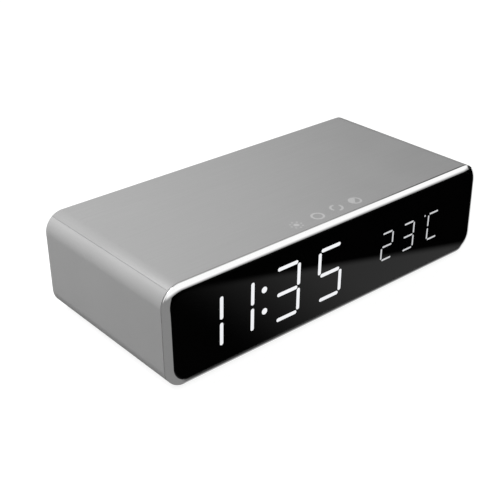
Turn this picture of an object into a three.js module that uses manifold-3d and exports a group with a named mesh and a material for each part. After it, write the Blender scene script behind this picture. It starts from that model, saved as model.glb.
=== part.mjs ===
// A digital table clock with a wireless charging pad under its top cover.
//
// Millimetres, +Z up. The front faces -Y and +X is to the right as seen from the front. The origin
// is on the surface that the clock stands on, under the middle of its outline.

import * as THREE from "three";
import { mergeVertices } from "three/addons/utils/BufferGeometryUtils.js";
import Module from "manifold-3d";

// Case
const CASE_WIDTH = 190;
const CASE_HEIGHT = 47.5;
const OVERALL_DEPTH = 89.6;
const CORNER_RADIUS = 9.3;
const CASE_WALL = 2.2;
const SEAM_ANGLE = 37; // degrees that the top cover reaches round each shoulder
const LIP_ANGLE = 33; // degrees that the cover's lip reaches on below the seam
const LIP_WALL = 1.2;
const FOOT_PROUD = 1.5;

// Clearances
const GAP = 0.3; // between pieces that rest against each other
const SLIDE_GAP = 0.4; // round a piece that is pushed into an opening
const ROOT = 0.6; // how far a boss or rib roots in the wall that it grows from
const PAST = 1; // how far a cutting tool runs past the face that it cuts

// Front bezel and lens
const BEZEL_PROUD = 2.3;
const BEZEL_LAND = 0.6; // the rim's straight side, behind its slope to the lens
const BEZEL_CROWN = 0.2; // how far that slope bows out
const LENS_INSET = 3;
const LENS_THICKNESS = 1.2;
const LENS_RECESS = 0.2;
const RABBET_INSET = 1.1;
const RABBET_DEPTH = 1.6;
const SPIGOT_WALL = 1.2;
const SPIGOT_DEPTH = 2.3;
const DISPLAY_BOSS_SIZE = 6.4;
const DISPLAY_BOSS_INSET = 6.6; // from the display board's top and bottom edges

// Display
const FILM_THICKNESS = 0.4;
const REFLECTOR_DEPTH = 6;
const BOARD_THICKNESS = 1.6;
const DIGIT_FROM_LEFT = [21.5, 38.1, 64.2, 89.6]; // large digits' middles from the case's left side
const COLON_FROM_LEFT = 51.2;
const DIGIT_WIDTH = 13; // between the centre lines of a digit's upright strokes
const DIGIT_HEIGHT = 24.7; // between the centre lines of its top and bottom strokes
const DIGIT_STROKE = 1.9;
const DIGIT_DROP = 0.7; // middle of the digits below the middle of the case
const COLON_SPREAD = 10.5;
const COLON_DOT = 2.7; // diameter
const COLON_RISE = 0.5; // middle of the colon above the large digits'
const SMALL_DIGIT_FROM_RIGHT = [63.4, 48.8, 31.3]; // and small ones' from its right side
const DEGREE_FROM_RIGHT = 37.4;
const SMALL_DIGIT_WIDTH = 7.2;
const SMALL_DIGIT_HEIGHT = 13.6;
const SMALL_DIGIT_STROKE = 1;
const SMALL_DIGIT_RISE = 0.3; // middle of the small digits above the large ones'
const DIGIT_SLANT = 1.8; // degrees
const STROKE_SIDE_GAP = 0.35; // from a stroke's round end to the next centre line
const LED_HEIGHT = 0.6;
const LED_LENGTH = 1.6;
const LED_WELL_SHARE = 0.5; // a light source's width in its well's

// Touch keys
const TOUCH_WIDTH = 56;
const TOUCH_DEPTH = 7;
const TOUCH_BOARD_THICKNESS = 1;
const TOUCH_FOAM_THICKNESS = 0.5;

// Charging coil and its carrier
const COIL_Y = 5;
const COIL_TURNS = 8;
const COIL_INNER_RADIUS = 11;
const COIL_PITCH = 1.7;
const COIL_WIRE = 1.1; // diameter
const FERRITE_SIZE = 53;
const FERRITE_THICKNESS = 1;
const CARRIER_THICKNESS = 1.6;
const CARRIER_RIM = 1.2;
const CARRIER_EAR_REACH = 36; // from the coil's middle to an ear's screw, in x
const CARRIER_EAR_SPREAD = 18; // and in y
const CARRIER_EAR_RADIUS = 4;
const LEAD_TENSION = 0.25; // how gently a coil lead bends
const LEAD_CLEARANCE = 1.2; // round a coil lead, where it drops through the ferrite and carrier
const INNER_LEAD_REACH = 3; // from the coil's inner end towards its middle
const INNER_LEAD_SIDE = 4; // and behind it
const OUTER_LEAD_SIDE = 8; // in front of the coil's outer end

// Charger board
const CHARGER_BOARD_WIDTH = 66;
const CHARGER_BOARD_DEPTH = 42;
const CHARGER_BOARD_SETBACK = 0.8; // from the rear cover's inner face
const CHARGER_BOARD_SPACE = 1.3; // between the board and the case's left screw pillars
const STANDOFF_HEIGHT = 5;
const STANDOFF_RADIUS = 2.8;
const BOARD_HOLE_INSET = 4;
const COIL_TERMINAL = { width: 3, height: 3, y: 9 };

// What stands on the charger board, from its left edge and its front edge
const CHARGER_CONNECTOR = { x: 16, width: 12, depth: 5, height: 4 };
const CHARGER_CHIP = { x: 31, y: 29.5, size: 8, height: 1.2 };
const INDUCTOR = { x: 57, y: 19, radius: 6, height: 8, flange: 1.4, waist: 4.8 };
const SMOOTHING_CAPACITOR = { x: 15, y: [23, 32], radius: 3.2, height: 8, groove: 0.4 };
const RESONANCE_CAPACITOR = { x: 41, y: [14.8, 22.3], width: 13, depth: 5, height: 9, corner: 0.8 };
const SENSOR = { bead: 1.6, lead: 0.4, spacing: 1.5, setback: 2 };

// Power inlet and rear cover
const REAR_COVER_THICKNESS = 2.2;
const REAR_COVER_RECESS = 0.5;
const INLET_WIDTH = 8.94;
const INLET_HEIGHT = 3.26;
const INLET_LENGTH = 7.3;
const INLET_WALL = 0.3;
const INLET_TONGUE = 0.7;
const INLET_TONGUE_WIDTH = 6.6;
const INLET_POCKET = 0.9; // depth of the pocket round the inlet's mouth
const INLET_POCKET_MARGIN = 3;
const VENT_INSET = 9; // from the charger board's right edge
const VENT_SLOTS = 6;
const VENT_SLOT_WIDTH = 1.3;
const VENT_SLOT_HEIGHT = 9;
const VENT_PITCH = 2.7;
const VENT_Z = 22;
const REAR_SCREW_INSET = 7; // from the case's outer side
const REAR_BOSS_SIZE = 7;
const REAR_BOSS_LENGTH = 9;

// Coin cell, its holder and the battery door
const BAY_INSET = 47; // from the case's right side
const BAY_Y = 6;
const BAY_WALL = 1.5;
const CELL_RADIUS = 10;
const CELL_THICKNESS = 3.2;
const CELL_CRIMP = 0.4;
const DOOR_THICKNESS = 1.8;
const DOOR_CELL_GAP = 0.8;
const DOOR_TONGUE_WIDTH = 10;
const DOOR_TONGUE_REACH = 1.5;
const DOOR_TONGUE_THICKNESS = 1;
const DOOR_LATCH_WIDTH = 7;
const DOOR_LATCH_HEIGHT = 3;
const DOOR_LATCH_THICKNESS = 1;
const DOOR_LATCH_SETBACK = 0.6;
const DOOR_LATCH_SPACE = 1.4; // between the latch and the cell's holder
const DOOR_BARB = 0.25;
const DOOR_NOTCH = { length: 13, radius: 4, depth: 0.7, fromRear: 5 };
const DOOR_SWING_GAP = 0.6; // behind the door, for its turn about the tongue
const HOLDER_SETBACK = 4.4; // behind the hinge edge, clear of the turning tongue
const HOLDER_WALL = 1.5;
const HOLDER_SIDE = 2.7;
const HOLDER_ROOF = 0.8;
const HOLDER_FLANGE = 1.4;
const CONTACT_SPACE = 1.6;
const CONTACT_THICKNESS = 0.3;
const CONTACT_WIDTH = 4;
const CONTACT_TAG = 2; // its end above the holder

// Feet
const FOOT_RADIUS = 6;
const FOOT_RECESS = 0.9;
const FOOT_INSET_X = 18;
const FOOT_INSET_Y = 12;
const FOOT_CHAMFER = 0.5;

// Screws
const CASE_SCREW = { head: 2.7, headHeight: 1.8, shank: 1.4, length: 10 };
const SMALL_SCREW = { head: 2, headHeight: 1.3, shank: 0.9, length: 6 };
const SCREW_CROWN = 0.7; // flat part of a screw's head
const SCREW_WEB = 2; // wall between a case screw's head and the top cover's post
const CASE_SCREW_SINK = 7; // depth of the head's counterbore
const CASE_SCREW_INSET_X = 29;
const CASE_SCREW_INSET_Y = [17, 11]; // from the case's front and rear edges
const BOSS_WALL = 1.7; // round a screw hole

// Flat cables
const CABLE_THICKNESS = 0.8;
const DISPLAY_CABLE_WIDTH = 10;
const TOUCH_CABLE_WIDTH = 6;
const CELL_CABLE_WIDTH = 3;

// On the display board's rear face, with heights above the case's underside
const DISPLAY_CONNECTOR = { z: 20, width: 12, height: 5, depth: 4 };
const CELL_CONNECTOR = { z: 14, width: 6, height: 5, depth: 4 };
const TOUCH_CONNECTOR = { x: 10, z: 32, width: 8, height: 4, depth: 3 };
const CLOCK_CHIP = { x: -20, z: 22, width: 10, height: 10, depth: 1.4 };
const SOUNDER = { x: 20, z: 18, radius: 6, depth: 5, hole: 1.2 };

// Roundness of the facets
const ARC_STEPS = 4; // curve divisions of a quarter circle, each of two facets
const SMALL_ARC_STEPS = 2; // of a small corner's
const ROUND_SIDES = 16;
const WIDE_SIDES = 28;
const SCREW_SIDES = 8;
const WIRE_SIDES = 3; // curve divisions of a wire's section, each of two facets
const COIL_STEPS = 16; // to a turn
const LEAD_STEPS = 12;
const CABLE_STEPS = 4; // between two places on a cable's path

// Levels that follow from the sizes above
const FRONT = -OVERALL_DEPTH / 2;
const BACK = OVERALL_DEPTH / 2;
const CASE_BOTTOM = FOOT_PROUD;
const CASE_TOP = CASE_BOTTOM + CASE_HEIGHT;
const FLOOR = CASE_BOTTOM + CASE_WALL;
const CEILING = CASE_TOP - CASE_WALL;
const BEZEL_BACK = FRONT + BEZEL_PROUD;
const CASE_FRONT = BEZEL_BACK + GAP;
const LENS_FRONT = FRONT + LENS_RECESS;
const LEDGE_FRONT = LENS_FRONT + LENS_THICKNESS + GAP;
const SPIGOT_INSET = CASE_WALL + SLIDE_GAP;
const OPENING_INSET = SPIGOT_INSET + SPIGOT_WALL; // clear opening of the bezel behind the lens
const SPIGOT_END = BEZEL_BACK + SPIGOT_DEPTH;
const REFLECTOR_FRONT = LEDGE_FRONT + FILM_THICKNESS + GAP;
const REFLECTOR_BACK = REFLECTOR_FRONT + REFLECTOR_DEPTH;
const DISPLAY_BOARD_FRONT = REFLECTOR_BACK + GAP;
const DISPLAY_BOARD_BACK = DISPLAY_BOARD_FRONT + BOARD_THICKNESS;
const TOUCH_FRONT = SPIGOT_END + GAP;
const TOUCH_FOAM_BOTTOM = CEILING - GAP - TOUCH_FOAM_THICKNESS;
const TOUCH_BOARD_TOP = TOUCH_FOAM_BOTTOM - GAP;
const TOUCH_BOARD_BOTTOM = TOUCH_BOARD_TOP - TOUCH_BOARD_THICKNESS;
const DISPLAY_BOTTOM = CASE_BOTTOM + OPENING_INSET + GAP;
const DISPLAY_TOP = TOUCH_BOARD_BOTTOM - GAP;
const DISPLAY_HALF_WIDTH = CASE_WIDTH / 2 - OPENING_INSET - GAP;
const REFLECTOR_HALF_WIDTH = DISPLAY_HALF_WIDTH - DISPLAY_BOSS_SIZE;
const DIGIT_Z = (CASE_BOTTOM + CASE_TOP) / 2 - DIGIT_DROP;
const COIL_Z = CEILING - GAP - COIL_WIRE / 2;
const COIL_OUTER_RADIUS = COIL_INNER_RADIUS + COIL_TURNS * COIL_PITCH;
const FERRITE_TOP = COIL_Z - COIL_WIRE / 2 - GAP;
const CARRIER_TOP = FERRITE_TOP - FERRITE_THICKNESS - GAP;
const CARRIER_BOTTOM = CARRIER_TOP - CARRIER_THICKNESS;
const CARRIER_HALF = FERRITE_SIZE / 2 + GAP + CARRIER_RIM;
const CARRIER_SCREW = { ...SMALL_SCREW, length: CEILING - CARRIER_BOTTOM };
const LEAD_HOLE = COIL_WIRE / 2 + LEAD_CLEARANCE;
const INNER_LEAD = [INNER_LEAD_REACH - COIL_INNER_RADIUS, COIL_Y + INNER_LEAD_SIDE];
const OUTER_LEAD = [-(CARRIER_HALF + LEAD_HOLE + GAP), COIL_Y - OUTER_LEAD_SIDE];
const REAR_COVER_BACK = BACK - REAR_COVER_RECESS;
const REAR_COVER_FRONT = REAR_COVER_BACK - REAR_COVER_THICKNESS;
const LEDGE_BACK = REAR_COVER_FRONT - GAP; // the case's ribs and bosses that the rear cover rests on
const CHARGER_BOARD_BOTTOM = FLOOR + STANDOFF_HEIGHT + GAP;
const CHARGER_BOARD_TOP = CHARGER_BOARD_BOTTOM + BOARD_THICKNESS;
const CHARGER_BOARD_BACK = REAR_COVER_FRONT - CHARGER_BOARD_SETBACK;
const CHARGER_BOARD_FRONT = CHARGER_BOARD_BACK - CHARGER_BOARD_DEPTH;
const CASE_SCREW_X = CASE_WIDTH / 2 - CASE_SCREW_INSET_X;
const PILLAR_RADIUS = CASE_SCREW.head + GAP + BOSS_WALL;
const CHARGER_BOARD_LEFT = PILLAR_RADIUS + CHARGER_BOARD_SPACE - CASE_SCREW_X;
const CHARGER_BOARD_X = CHARGER_BOARD_LEFT + CHARGER_BOARD_WIDTH / 2;
const VENT_X = CHARGER_BOARD_LEFT + CHARGER_BOARD_WIDTH - VENT_INSET;
const COIL_TERMINAL_Y = CHARGER_BOARD_FRONT + COIL_TERMINAL.y;
const INLET_Z = CHARGER_BOARD_TOP + GAP + INLET_HEIGHT / 2;
const BAY_X = CASE_WIDTH / 2 - BAY_INSET;
const HOLDER_HALF_WIDTH = CELL_RADIUS + GAP + HOLDER_SIDE;
const HOLDER_LENGTH = 2 * (CELL_RADIUS + GAP + HOLDER_WALL);
const DOOR_WIDTH = 2 * HOLDER_HALF_WIDTH;
const DOOR_LENGTH =
  HOLDER_SETBACK + HOLDER_LENGTH + DOOR_LATCH_SPACE + DOOR_LATCH_THICKNESS + DOOR_LATCH_SETBACK;
const HINGE_Y = BAY_Y - DOOR_LENGTH / 2;
const DOOR_REAR = HINGE_Y + DOOR_LENGTH;
const DOOR_TOP = CASE_BOTTOM + DOOR_THICKNESS;
const CELL_BOTTOM = DOOR_TOP + DOOR_CELL_GAP;
const CELL_TOP = CELL_BOTTOM + CELL_THICKNESS;
const CELL_Y = HINGE_Y + HOLDER_SETBACK + HOLDER_LENGTH / 2;
const HOLDER_ROOF_BOTTOM = CELL_TOP + CONTACT_SPACE;
const HOLDER_FLANGE_BOTTOM = HOLDER_ROOF_BOTTOM + HOLDER_ROOF;
const HOLDER_TOP = HOLDER_FLANGE_BOTTOM + HOLDER_FLANGE;
const BAY_WALL_TOP = HOLDER_FLANGE_BOTTOM - GAP;
const HOLDER_SCREW_X = DOOR_WIDTH / 2 + GAP + BAY_WALL + SMALL_SCREW.shank + BOSS_WALL - ROOT;

// Finishes
const FINISH = {
  brushedFilm: { color: 0xa6a8a6, roughness: 0.45, metalness: 0.3 },
  greyPlastic: { color: 0x8e908e, roughness: 0.6, metalness: 0 },
  chrome: { color: 0xe8e8e8, roughness: 0.08, metalness: 1 },
  blackGloss: { color: 0x050506, roughness: 0.05, metalness: 0 },
  film: { color: 0xe9ecef, roughness: 0.7, metalness: 0 },
  whitePlastic: { color: 0xf0f0ee, roughness: 0.5, metalness: 0 },
  circuitBoard: { color: 0x1c5a34, roughness: 0.5, metalness: 0 },
  foam: { color: 0x2a2a2c, roughness: 0.95, metalness: 0 },
  copper: { color: 0xb8703c, roughness: 0.35, metalness: 1 },
  ferrite: { color: 0x3a3a3d, roughness: 0.8, metalness: 0 },
  blackPlastic: { color: 0x1b1b1d, roughness: 0.55, metalness: 0 },
  steel: { color: 0xb9bcc0, roughness: 0.3, metalness: 1 },
  capacitorFilm: { color: 0xb04a26, roughness: 0.5, metalness: 0 },
  rubber: { color: 0x232324, roughness: 0.9, metalness: 0 },
  cable: { color: 0xd8d8d4, roughness: 0.6, metalness: 0 },
};

const wasm = await Module();
wasm.setup();

// A closed geometry as a solid that can be joined and cut.
function solid(geometry) {
  const loose = geometry.index ? geometry.toNonIndexed() : geometry;
  const bare = new THREE.BufferGeometry().setAttribute("position", loose.getAttribute("position"));
  const merged = mergeVertices(bare);
  return new wasm.Manifold(
    new wasm.Mesh({
      numProp: 3,
      vertProperties: merged.getAttribute("position").array,
      triVerts: new Uint32Array(merged.index.array),
    }),
  );
}

// A named sub-part made from a solid.
function piece(name, body, finish) {
  const { vertProperties, triVerts } = body.getMesh();
  const geometry = new THREE.BufferGeometry();
  geometry.setAttribute("position", new THREE.BufferAttribute(vertProperties, 3));
  geometry.setIndex(new THREE.BufferAttribute(triVerts, 1));
  geometry.computeVertexNormals();
  const mesh = new THREE.Mesh(geometry, new THREE.MeshStandardMaterial(finish));
  mesh.name = name;
  return mesh;
}

const join = (first, ...others) => others.reduce((body, other) => body.add(other), first);
const cut = (first, ...tools) => tools.reduce((body, tool) => body.subtract(tool), first);

function block([x0, x1], [y0, y1], [z0, z1]) {
  const geometry = new THREE.BoxGeometry(x1 - x0, y1 - y0, z1 - z0);
  return solid(geometry.translate((x0 + x1) / 2, (y0 + y1) / 2, (z0 + z1) / 2));
}

// A span of a given length about its middle.
const about = (middle, length) => [middle - length / 2, middle + length / 2];

function uprightCylinder(radius, x, y, [z0, z1], sides = ROUND_SIDES) {
  const geometry = new THREE.CylinderGeometry(radius, radius, z1 - z0, sides);
  return solid(geometry.rotateX(Math.PI / 2).translate(x, y, (z0 + z1) / 2));
}

function lengthwiseCylinder(radius, x, z, [y0, y1], sides = ROUND_SIDES) {
  const geometry = new THREE.CylinderGeometry(radius, radius, y1 - y0, sides);
  return solid(geometry.translate(x, (y0 + y1) / 2, z));
}

// An outline drawn in x and z, run along y.
function runAlongY(outline, [y0, y1], curveSegments = ARC_STEPS) {
  const options = { depth: y1 - y0, bevelEnabled: false, curveSegments };
  const geometry = new THREE.ExtrudeGeometry(outline, options);
  return solid(geometry.rotateX(Math.PI / 2).translate(0, y1, 0));
}

// An outline drawn in y and z, run along x.
function runAlongX(outline, [x0, x1]) {
  const geometry = new THREE.ExtrudeGeometry(outline, { depth: x1 - x0, bevelEnabled: false });
  return solid(geometry.rotateX(Math.PI / 2).rotateZ(Math.PI / 2).translate(x0, 0, 0));
}

// A rectangle with round corners, about the origin.
function roundedRectangle(width, height, radius) {
  const x = width / 2 - radius;
  const y = height / 2 - radius;
  const outline = new THREE.Shape();
  outline.absarc(x, y, radius, 0, Math.PI / 2);
  outline.absarc(-x, y, radius, Math.PI / 2, Math.PI);
  outline.absarc(-x, -y, radius, Math.PI, 1.5 * Math.PI);
  outline.absarc(x, -y, radius, 1.5 * Math.PI, 2 * Math.PI);
  return outline;
}

// Everything inside the case's outline, drawn in by an inset, between two depths.
function insideCase(inset, depths) {
  const outline = roundedRectangle(
    CASE_WIDTH - 2 * inset,
    CASE_HEIGHT - 2 * inset,
    CORNER_RADIUS - inset,
  );
  return runAlongY(outline, depths).translate([0, 0, (CASE_BOTTOM + CASE_TOP) / 2]);
}

// A thin strip of sheet or ribbon that follows a bent path in y and z.
function strip(path, thickness, x, width) {
  const points = path.map(([y, z]) => new THREE.Vector2(y, z));
  const last = points.length - 1;
  const direction = (i) => points[i + 1].clone().sub(points[i]).normalize();
  const sides = points.map((_, i) => {
    const out = direction(Math.min(i, last - 1));
    const along = direction(Math.max(i - 1, 0)).add(out).normalize();
    return new THREE.Vector2(-along.y, along.x).multiplyScalar(thickness / 2 / along.dot(out));
  });
  const left = points.map((point, i) => point.clone().add(sides[i]));
  const right = points.map((point, i) => point.clone().sub(sides[i]));
  return runAlongX(new THREE.Shape([...left, ...right.reverse()]), about(x, width));
}

// A round wire along a curve.
function wire(curve, diameter, steps) {
  const section = new THREE.Shape().absarc(0, 0, diameter / 2, 0, 2 * Math.PI);
  return solid(
    new THREE.ExtrudeGeometry(section, { steps, extrudePath: curve, curveSegments: WIRE_SIDES }),
  );
}

// The two shoulders' arcs share this centre, mirrored in x.
const SHOULDER_X = CASE_WIDTH / 2 - CORNER_RADIUS;
const SHOULDER_Z = CASE_TOP - CORNER_RADIUS;
const SEAM = THREE.MathUtils.degToRad(90 - SEAM_ANGLE); // up from the horizontal
const HALF_SEAM_GAP = GAP / 2 / (CORNER_RADIUS - CASE_WALL);

// The brushed plate on top: it turns down over both shoulders and laps inside the lower case.
function topCover() {
  const edge = SEAM + HALF_SEAM_GAP;
  const lipOuter = CORNER_RADIUS - CASE_WALL - GAP;
  const lipInner = lipOuter - LIP_WALL;
  const lipEnd = SEAM - THREE.MathUtils.degToRad(LIP_ANGLE);
  const profile = new THREE.Shape();
  profile.absarc(SHOULDER_X, SHOULDER_Z, CORNER_RADIUS, edge, Math.PI / 2);
  profile.absarc(-SHOULDER_X, SHOULDER_Z, CORNER_RADIUS, Math.PI / 2, Math.PI - edge);
  profile.absarc(-SHOULDER_X, SHOULDER_Z, lipOuter, Math.PI - edge, Math.PI - lipEnd);
  profile.absarc(-SHOULDER_X, SHOULDER_Z, lipInner, Math.PI - lipEnd, Math.PI / 2, true);
  profile.lineTo(-SHOULDER_X, CEILING);
  profile.lineTo(SHOULDER_X, CEILING);
  profile.absarc(SHOULDER_X, SHOULDER_Z, lipInner, Math.PI / 2, lipEnd, true);
  profile.absarc(SHOULDER_X, SHOULDER_Z, lipOuter, lipEnd, edge);
  const lipTrim = CASE_WALL + SLIDE_GAP - GAP;
  const plate = cut(
    runAlongY(profile, [CASE_FRONT, BACK]),
    insideCase(lipTrim, [FRONT, SPIGOT_END + GAP]),
    insideCase(lipTrim, [LEDGE_BACK, BACK + PAST]),
    bezelRabbet(),
  );
  const rearRib = block(
    about(0, 2 * SHOULDER_X),
    [LEDGE_BACK - CASE_WALL, LEDGE_BACK],
    [CEILING - CASE_WALL, CEILING + ROOT],
  );
  const posts = caseScrewPlaces().map(([x, y]) =>
    uprightCylinder(CASE_SCREW.shank + BOSS_WALL, x, y, [postBottom(), CEILING + ROOT]),
  );
  const postHoles = caseScrewPlaces().map(([x, y]) =>
    uprightCylinder(
      CASE_SCREW.shank + GAP,
      x,
      y,
      [postBottom() - PAST, postBottom() + CASE_SCREW.length],
      SCREW_SIDES,
    ),
  );
  const bosses = carrierScrewPlaces().map(([x, y]) =>
    uprightCylinder(SMALL_SCREW.shank + BOSS_WALL, x, y, [CARRIER_TOP + GAP, CEILING + ROOT]),
  );
  const bossHoles = carrierScrewPlaces().map(([x, y]) =>
    uprightCylinder(CARRIER_SCREW.shank + GAP, x, y, [CARRIER_TOP, CEILING], SCREW_SIDES),
  );
  return piece(
    "top_cover",
    cut(join(plate, rearRib, ...posts, ...bosses), ...postHoles, ...bossHoles),
    FINISH.brushedFilm,
  );
}

// The step inside the case's front edge that the bezel's web drops into.
function bezelRabbet() {
  return insideCase(RABBET_INSET - GAP, [FRONT, BEZEL_BACK + RABBET_DEPTH + GAP]);
}

// Where the four case screws stand.
function caseScrewPlaces() {
  const [front, rear] = [CASE_FRONT + CASE_SCREW_INSET_Y[0], BACK - CASE_SCREW_INSET_Y[1]];
  return [-CASE_SCREW_X, CASE_SCREW_X].flatMap((x) => [
    [x, front],
    [x, rear],
  ]);
}

const pillarTop = () => CASE_BOTTOM + CASE_SCREW_SINK + SCREW_WEB;
const postBottom = () => pillarTop() + GAP;

// Where the coil carrier's four ears are screwed to the top cover.
function carrierScrewPlaces() {
  return [-1, 1].flatMap((sideX) =>
    [-1, 1].map((sideY) => [sideX * CARRIER_EAR_REACH, COIL_Y + sideY * CARRIER_EAR_SPREAD]),
  );
}

// Where the charger board's four screws stand.
function boardScrewPlaces() {
  const x = CHARGER_BOARD_WIDTH / 2 - BOARD_HOLE_INSET;
  return [-x, x].flatMap((dx) => [
    [CHARGER_BOARD_X + dx, CHARGER_BOARD_FRONT + BOARD_HOLE_INSET],
    [CHARGER_BOARD_X + dx, CHARGER_BOARD_BACK - BOARD_HOLE_INSET],
  ]);
}

// The middle of each foot.
function footPlaces() {
  const x = CASE_WIDTH / 2 - FOOT_INSET_X;
  return [-x, x].flatMap((footX) => [
    [footX, CASE_FRONT + FOOT_INSET_Y],
    [footX, BACK - FOOT_INSET_Y],
  ]);
}

// The two holder screws, either side of the battery bay.
const holderScrewPlaces = () => [-1, 1].map((side) => [BAY_X + side * HOLDER_SCREW_X, CELL_Y]);

// The two screws of the rear cover, in bosses on the case's sides.
const rearScrewX = () => CASE_WIDTH / 2 - REAR_SCREW_INSET;
const REAR_SCREW_Z = (CASE_BOTTOM + CASE_TOP) / 2;

// The tray: floor and both sides up to the seam, with its screw pillars, standoffs and battery bay.
function lowerCase() {
  const low = CASE_BOTTOM + CORNER_RADIUS;
  const edge = SEAM - HALF_SEAM_GAP;
  const inner = CORNER_RADIUS - CASE_WALL;
  const profile = new THREE.Shape();
  profile.absarc(-SHOULDER_X, SHOULDER_Z, CORNER_RADIUS, Math.PI - edge, Math.PI);
  profile.absarc(-SHOULDER_X, low, CORNER_RADIUS, Math.PI, 1.5 * Math.PI);
  profile.absarc(SHOULDER_X, low, CORNER_RADIUS, 1.5 * Math.PI, 2 * Math.PI);
  profile.absarc(SHOULDER_X, SHOULDER_Z, CORNER_RADIUS, 0, edge);
  profile.absarc(SHOULDER_X, SHOULDER_Z, inner, edge, 0, true);
  profile.absarc(SHOULDER_X, low, inner, 2 * Math.PI, 1.5 * Math.PI, true);
  profile.absarc(-SHOULDER_X, low, inner, 1.5 * Math.PI, Math.PI, true);
  profile.absarc(-SHOULDER_X, SHOULDER_Z, inner, Math.PI, Math.PI - edge, true);
  const tray = cut(runAlongY(profile, [CASE_FRONT, BACK]), bezelRabbet());

  const rearRib = block(
    about(0, 2 * SHOULDER_X),
    [LEDGE_BACK - CASE_WALL, LEDGE_BACK],
    [FLOOR - ROOT, FLOOR + CASE_WALL],
  );
  const pillars = caseScrewPlaces().map(([x, y]) =>
    uprightCylinder(PILLAR_RADIUS, x, y, [FLOOR - ROOT, pillarTop()]),
  );
  const standoffs = boardScrewPlaces().map(([x, y]) =>
    uprightCylinder(STANDOFF_RADIUS, x, y, [FLOOR - ROOT, FLOOR + STANDOFF_HEIGHT]),
  );
  const holderBosses = holderScrewPlaces().map(([x, y]) =>
    uprightCylinder(SMALL_SCREW.shank + BOSS_WALL, x, y, [FLOOR - ROOT, BAY_WALL_TOP]),
  );
  const rearBosses = [-1, 1].map((side) => {
    const wallSide = side * (CASE_WIDTH / 2 - CASE_WALL + ROOT);
    const inSide = side * (rearScrewX() - REAR_BOSS_SIZE / 2);
    return block(
      [Math.min(wallSide, inSide), Math.max(wallSide, inSide)],
      [LEDGE_BACK - REAR_BOSS_LENGTH, LEDGE_BACK],
      about(REAR_SCREW_Z, REAR_BOSS_SIZE),
    );
  });

  return piece(
    "lower_case",
    cut(
      join(tray, rearRib, ...pillars, ...standoffs, ...holderBosses, ...rearBosses, bayWalls()),
      bayOpening(),
      tongueSlot(),
      ...caseScrewPlaces().map(([x, y]) =>
        uprightCylinder(CASE_SCREW.head + GAP, x, y, [CASE_BOTTOM - PAST, CASE_BOTTOM + CASE_SCREW_SINK]),
      ),
      ...caseScrewPlaces().map(([x, y]) =>
        uprightCylinder(CASE_SCREW.shank + GAP, x, y, [CASE_BOTTOM, pillarTop() + PAST], SCREW_SIDES),
      ),
      ...boardScrewPlaces().map(([x, y]) => smallScrewHole(x, y, FLOOR + STANDOFF_HEIGHT)),
      ...holderScrewPlaces().map(([x, y]) => smallScrewHole(x, y, BAY_WALL_TOP)),
      ...footPlaces().map(([x, y]) =>
        uprightCylinder(FOOT_RADIUS + GAP, x, y, [CASE_BOTTOM - PAST, CASE_BOTTOM + FOOT_RECESS]),
      ),
      ...[-1, 1].map((side) =>
        lengthwiseCylinder(
          SMALL_SCREW.shank + GAP,
          side * rearScrewX(),
          REAR_SCREW_Z,
          [LEDGE_BACK - SMALL_SCREW.length, LEDGE_BACK + PAST],
          SCREW_SIDES,
        ),
      ),
    ),
    FINISH.greyPlastic,
  );
}

// A blind hole for a small screw that is driven down from above.
function smallScrewHole(x, y, top) {
  const depth = SMALL_SCREW.length - GAP;
  return uprightCylinder(SMALL_SCREW.shank + GAP, x, y, [top - depth, top + PAST], SCREW_SIDES);
}

// The walls round the battery bay, with their foot in the floor.
function bayWalls() {
  return block(
    about(BAY_X, DOOR_WIDTH + 2 * GAP + 2 * BAY_WALL),
    [HINGE_Y - GAP - BAY_WALL, DOOR_REAR + DOOR_SWING_GAP + BAY_WALL],
    [FLOOR - ROOT, BAY_WALL_TOP],
  );
}

function bayOpening() {
  return block(
    about(BAY_X, DOOR_WIDTH + 2 * GAP),
    [HINGE_Y - GAP, DOOR_REAR + DOOR_SWING_GAP],
    [CASE_BOTTOM - PAST, BAY_WALL_TOP + PAST],
  );
}

// The slot in the bay's front wall, over the floor, that the door's tongue hooks into.
function tongueSlot() {
  const tongueTop = FLOOR + GAP + DOOR_TONGUE_THICKNESS;
  return block(
    about(BAY_X, DOOR_TONGUE_WIDTH + 2 * GAP),
    [HINGE_Y - DOOR_TONGUE_REACH - 3 * GAP, HINGE_Y],
    [FLOOR, tongueTop + 2 * GAP],
  );
}

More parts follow.
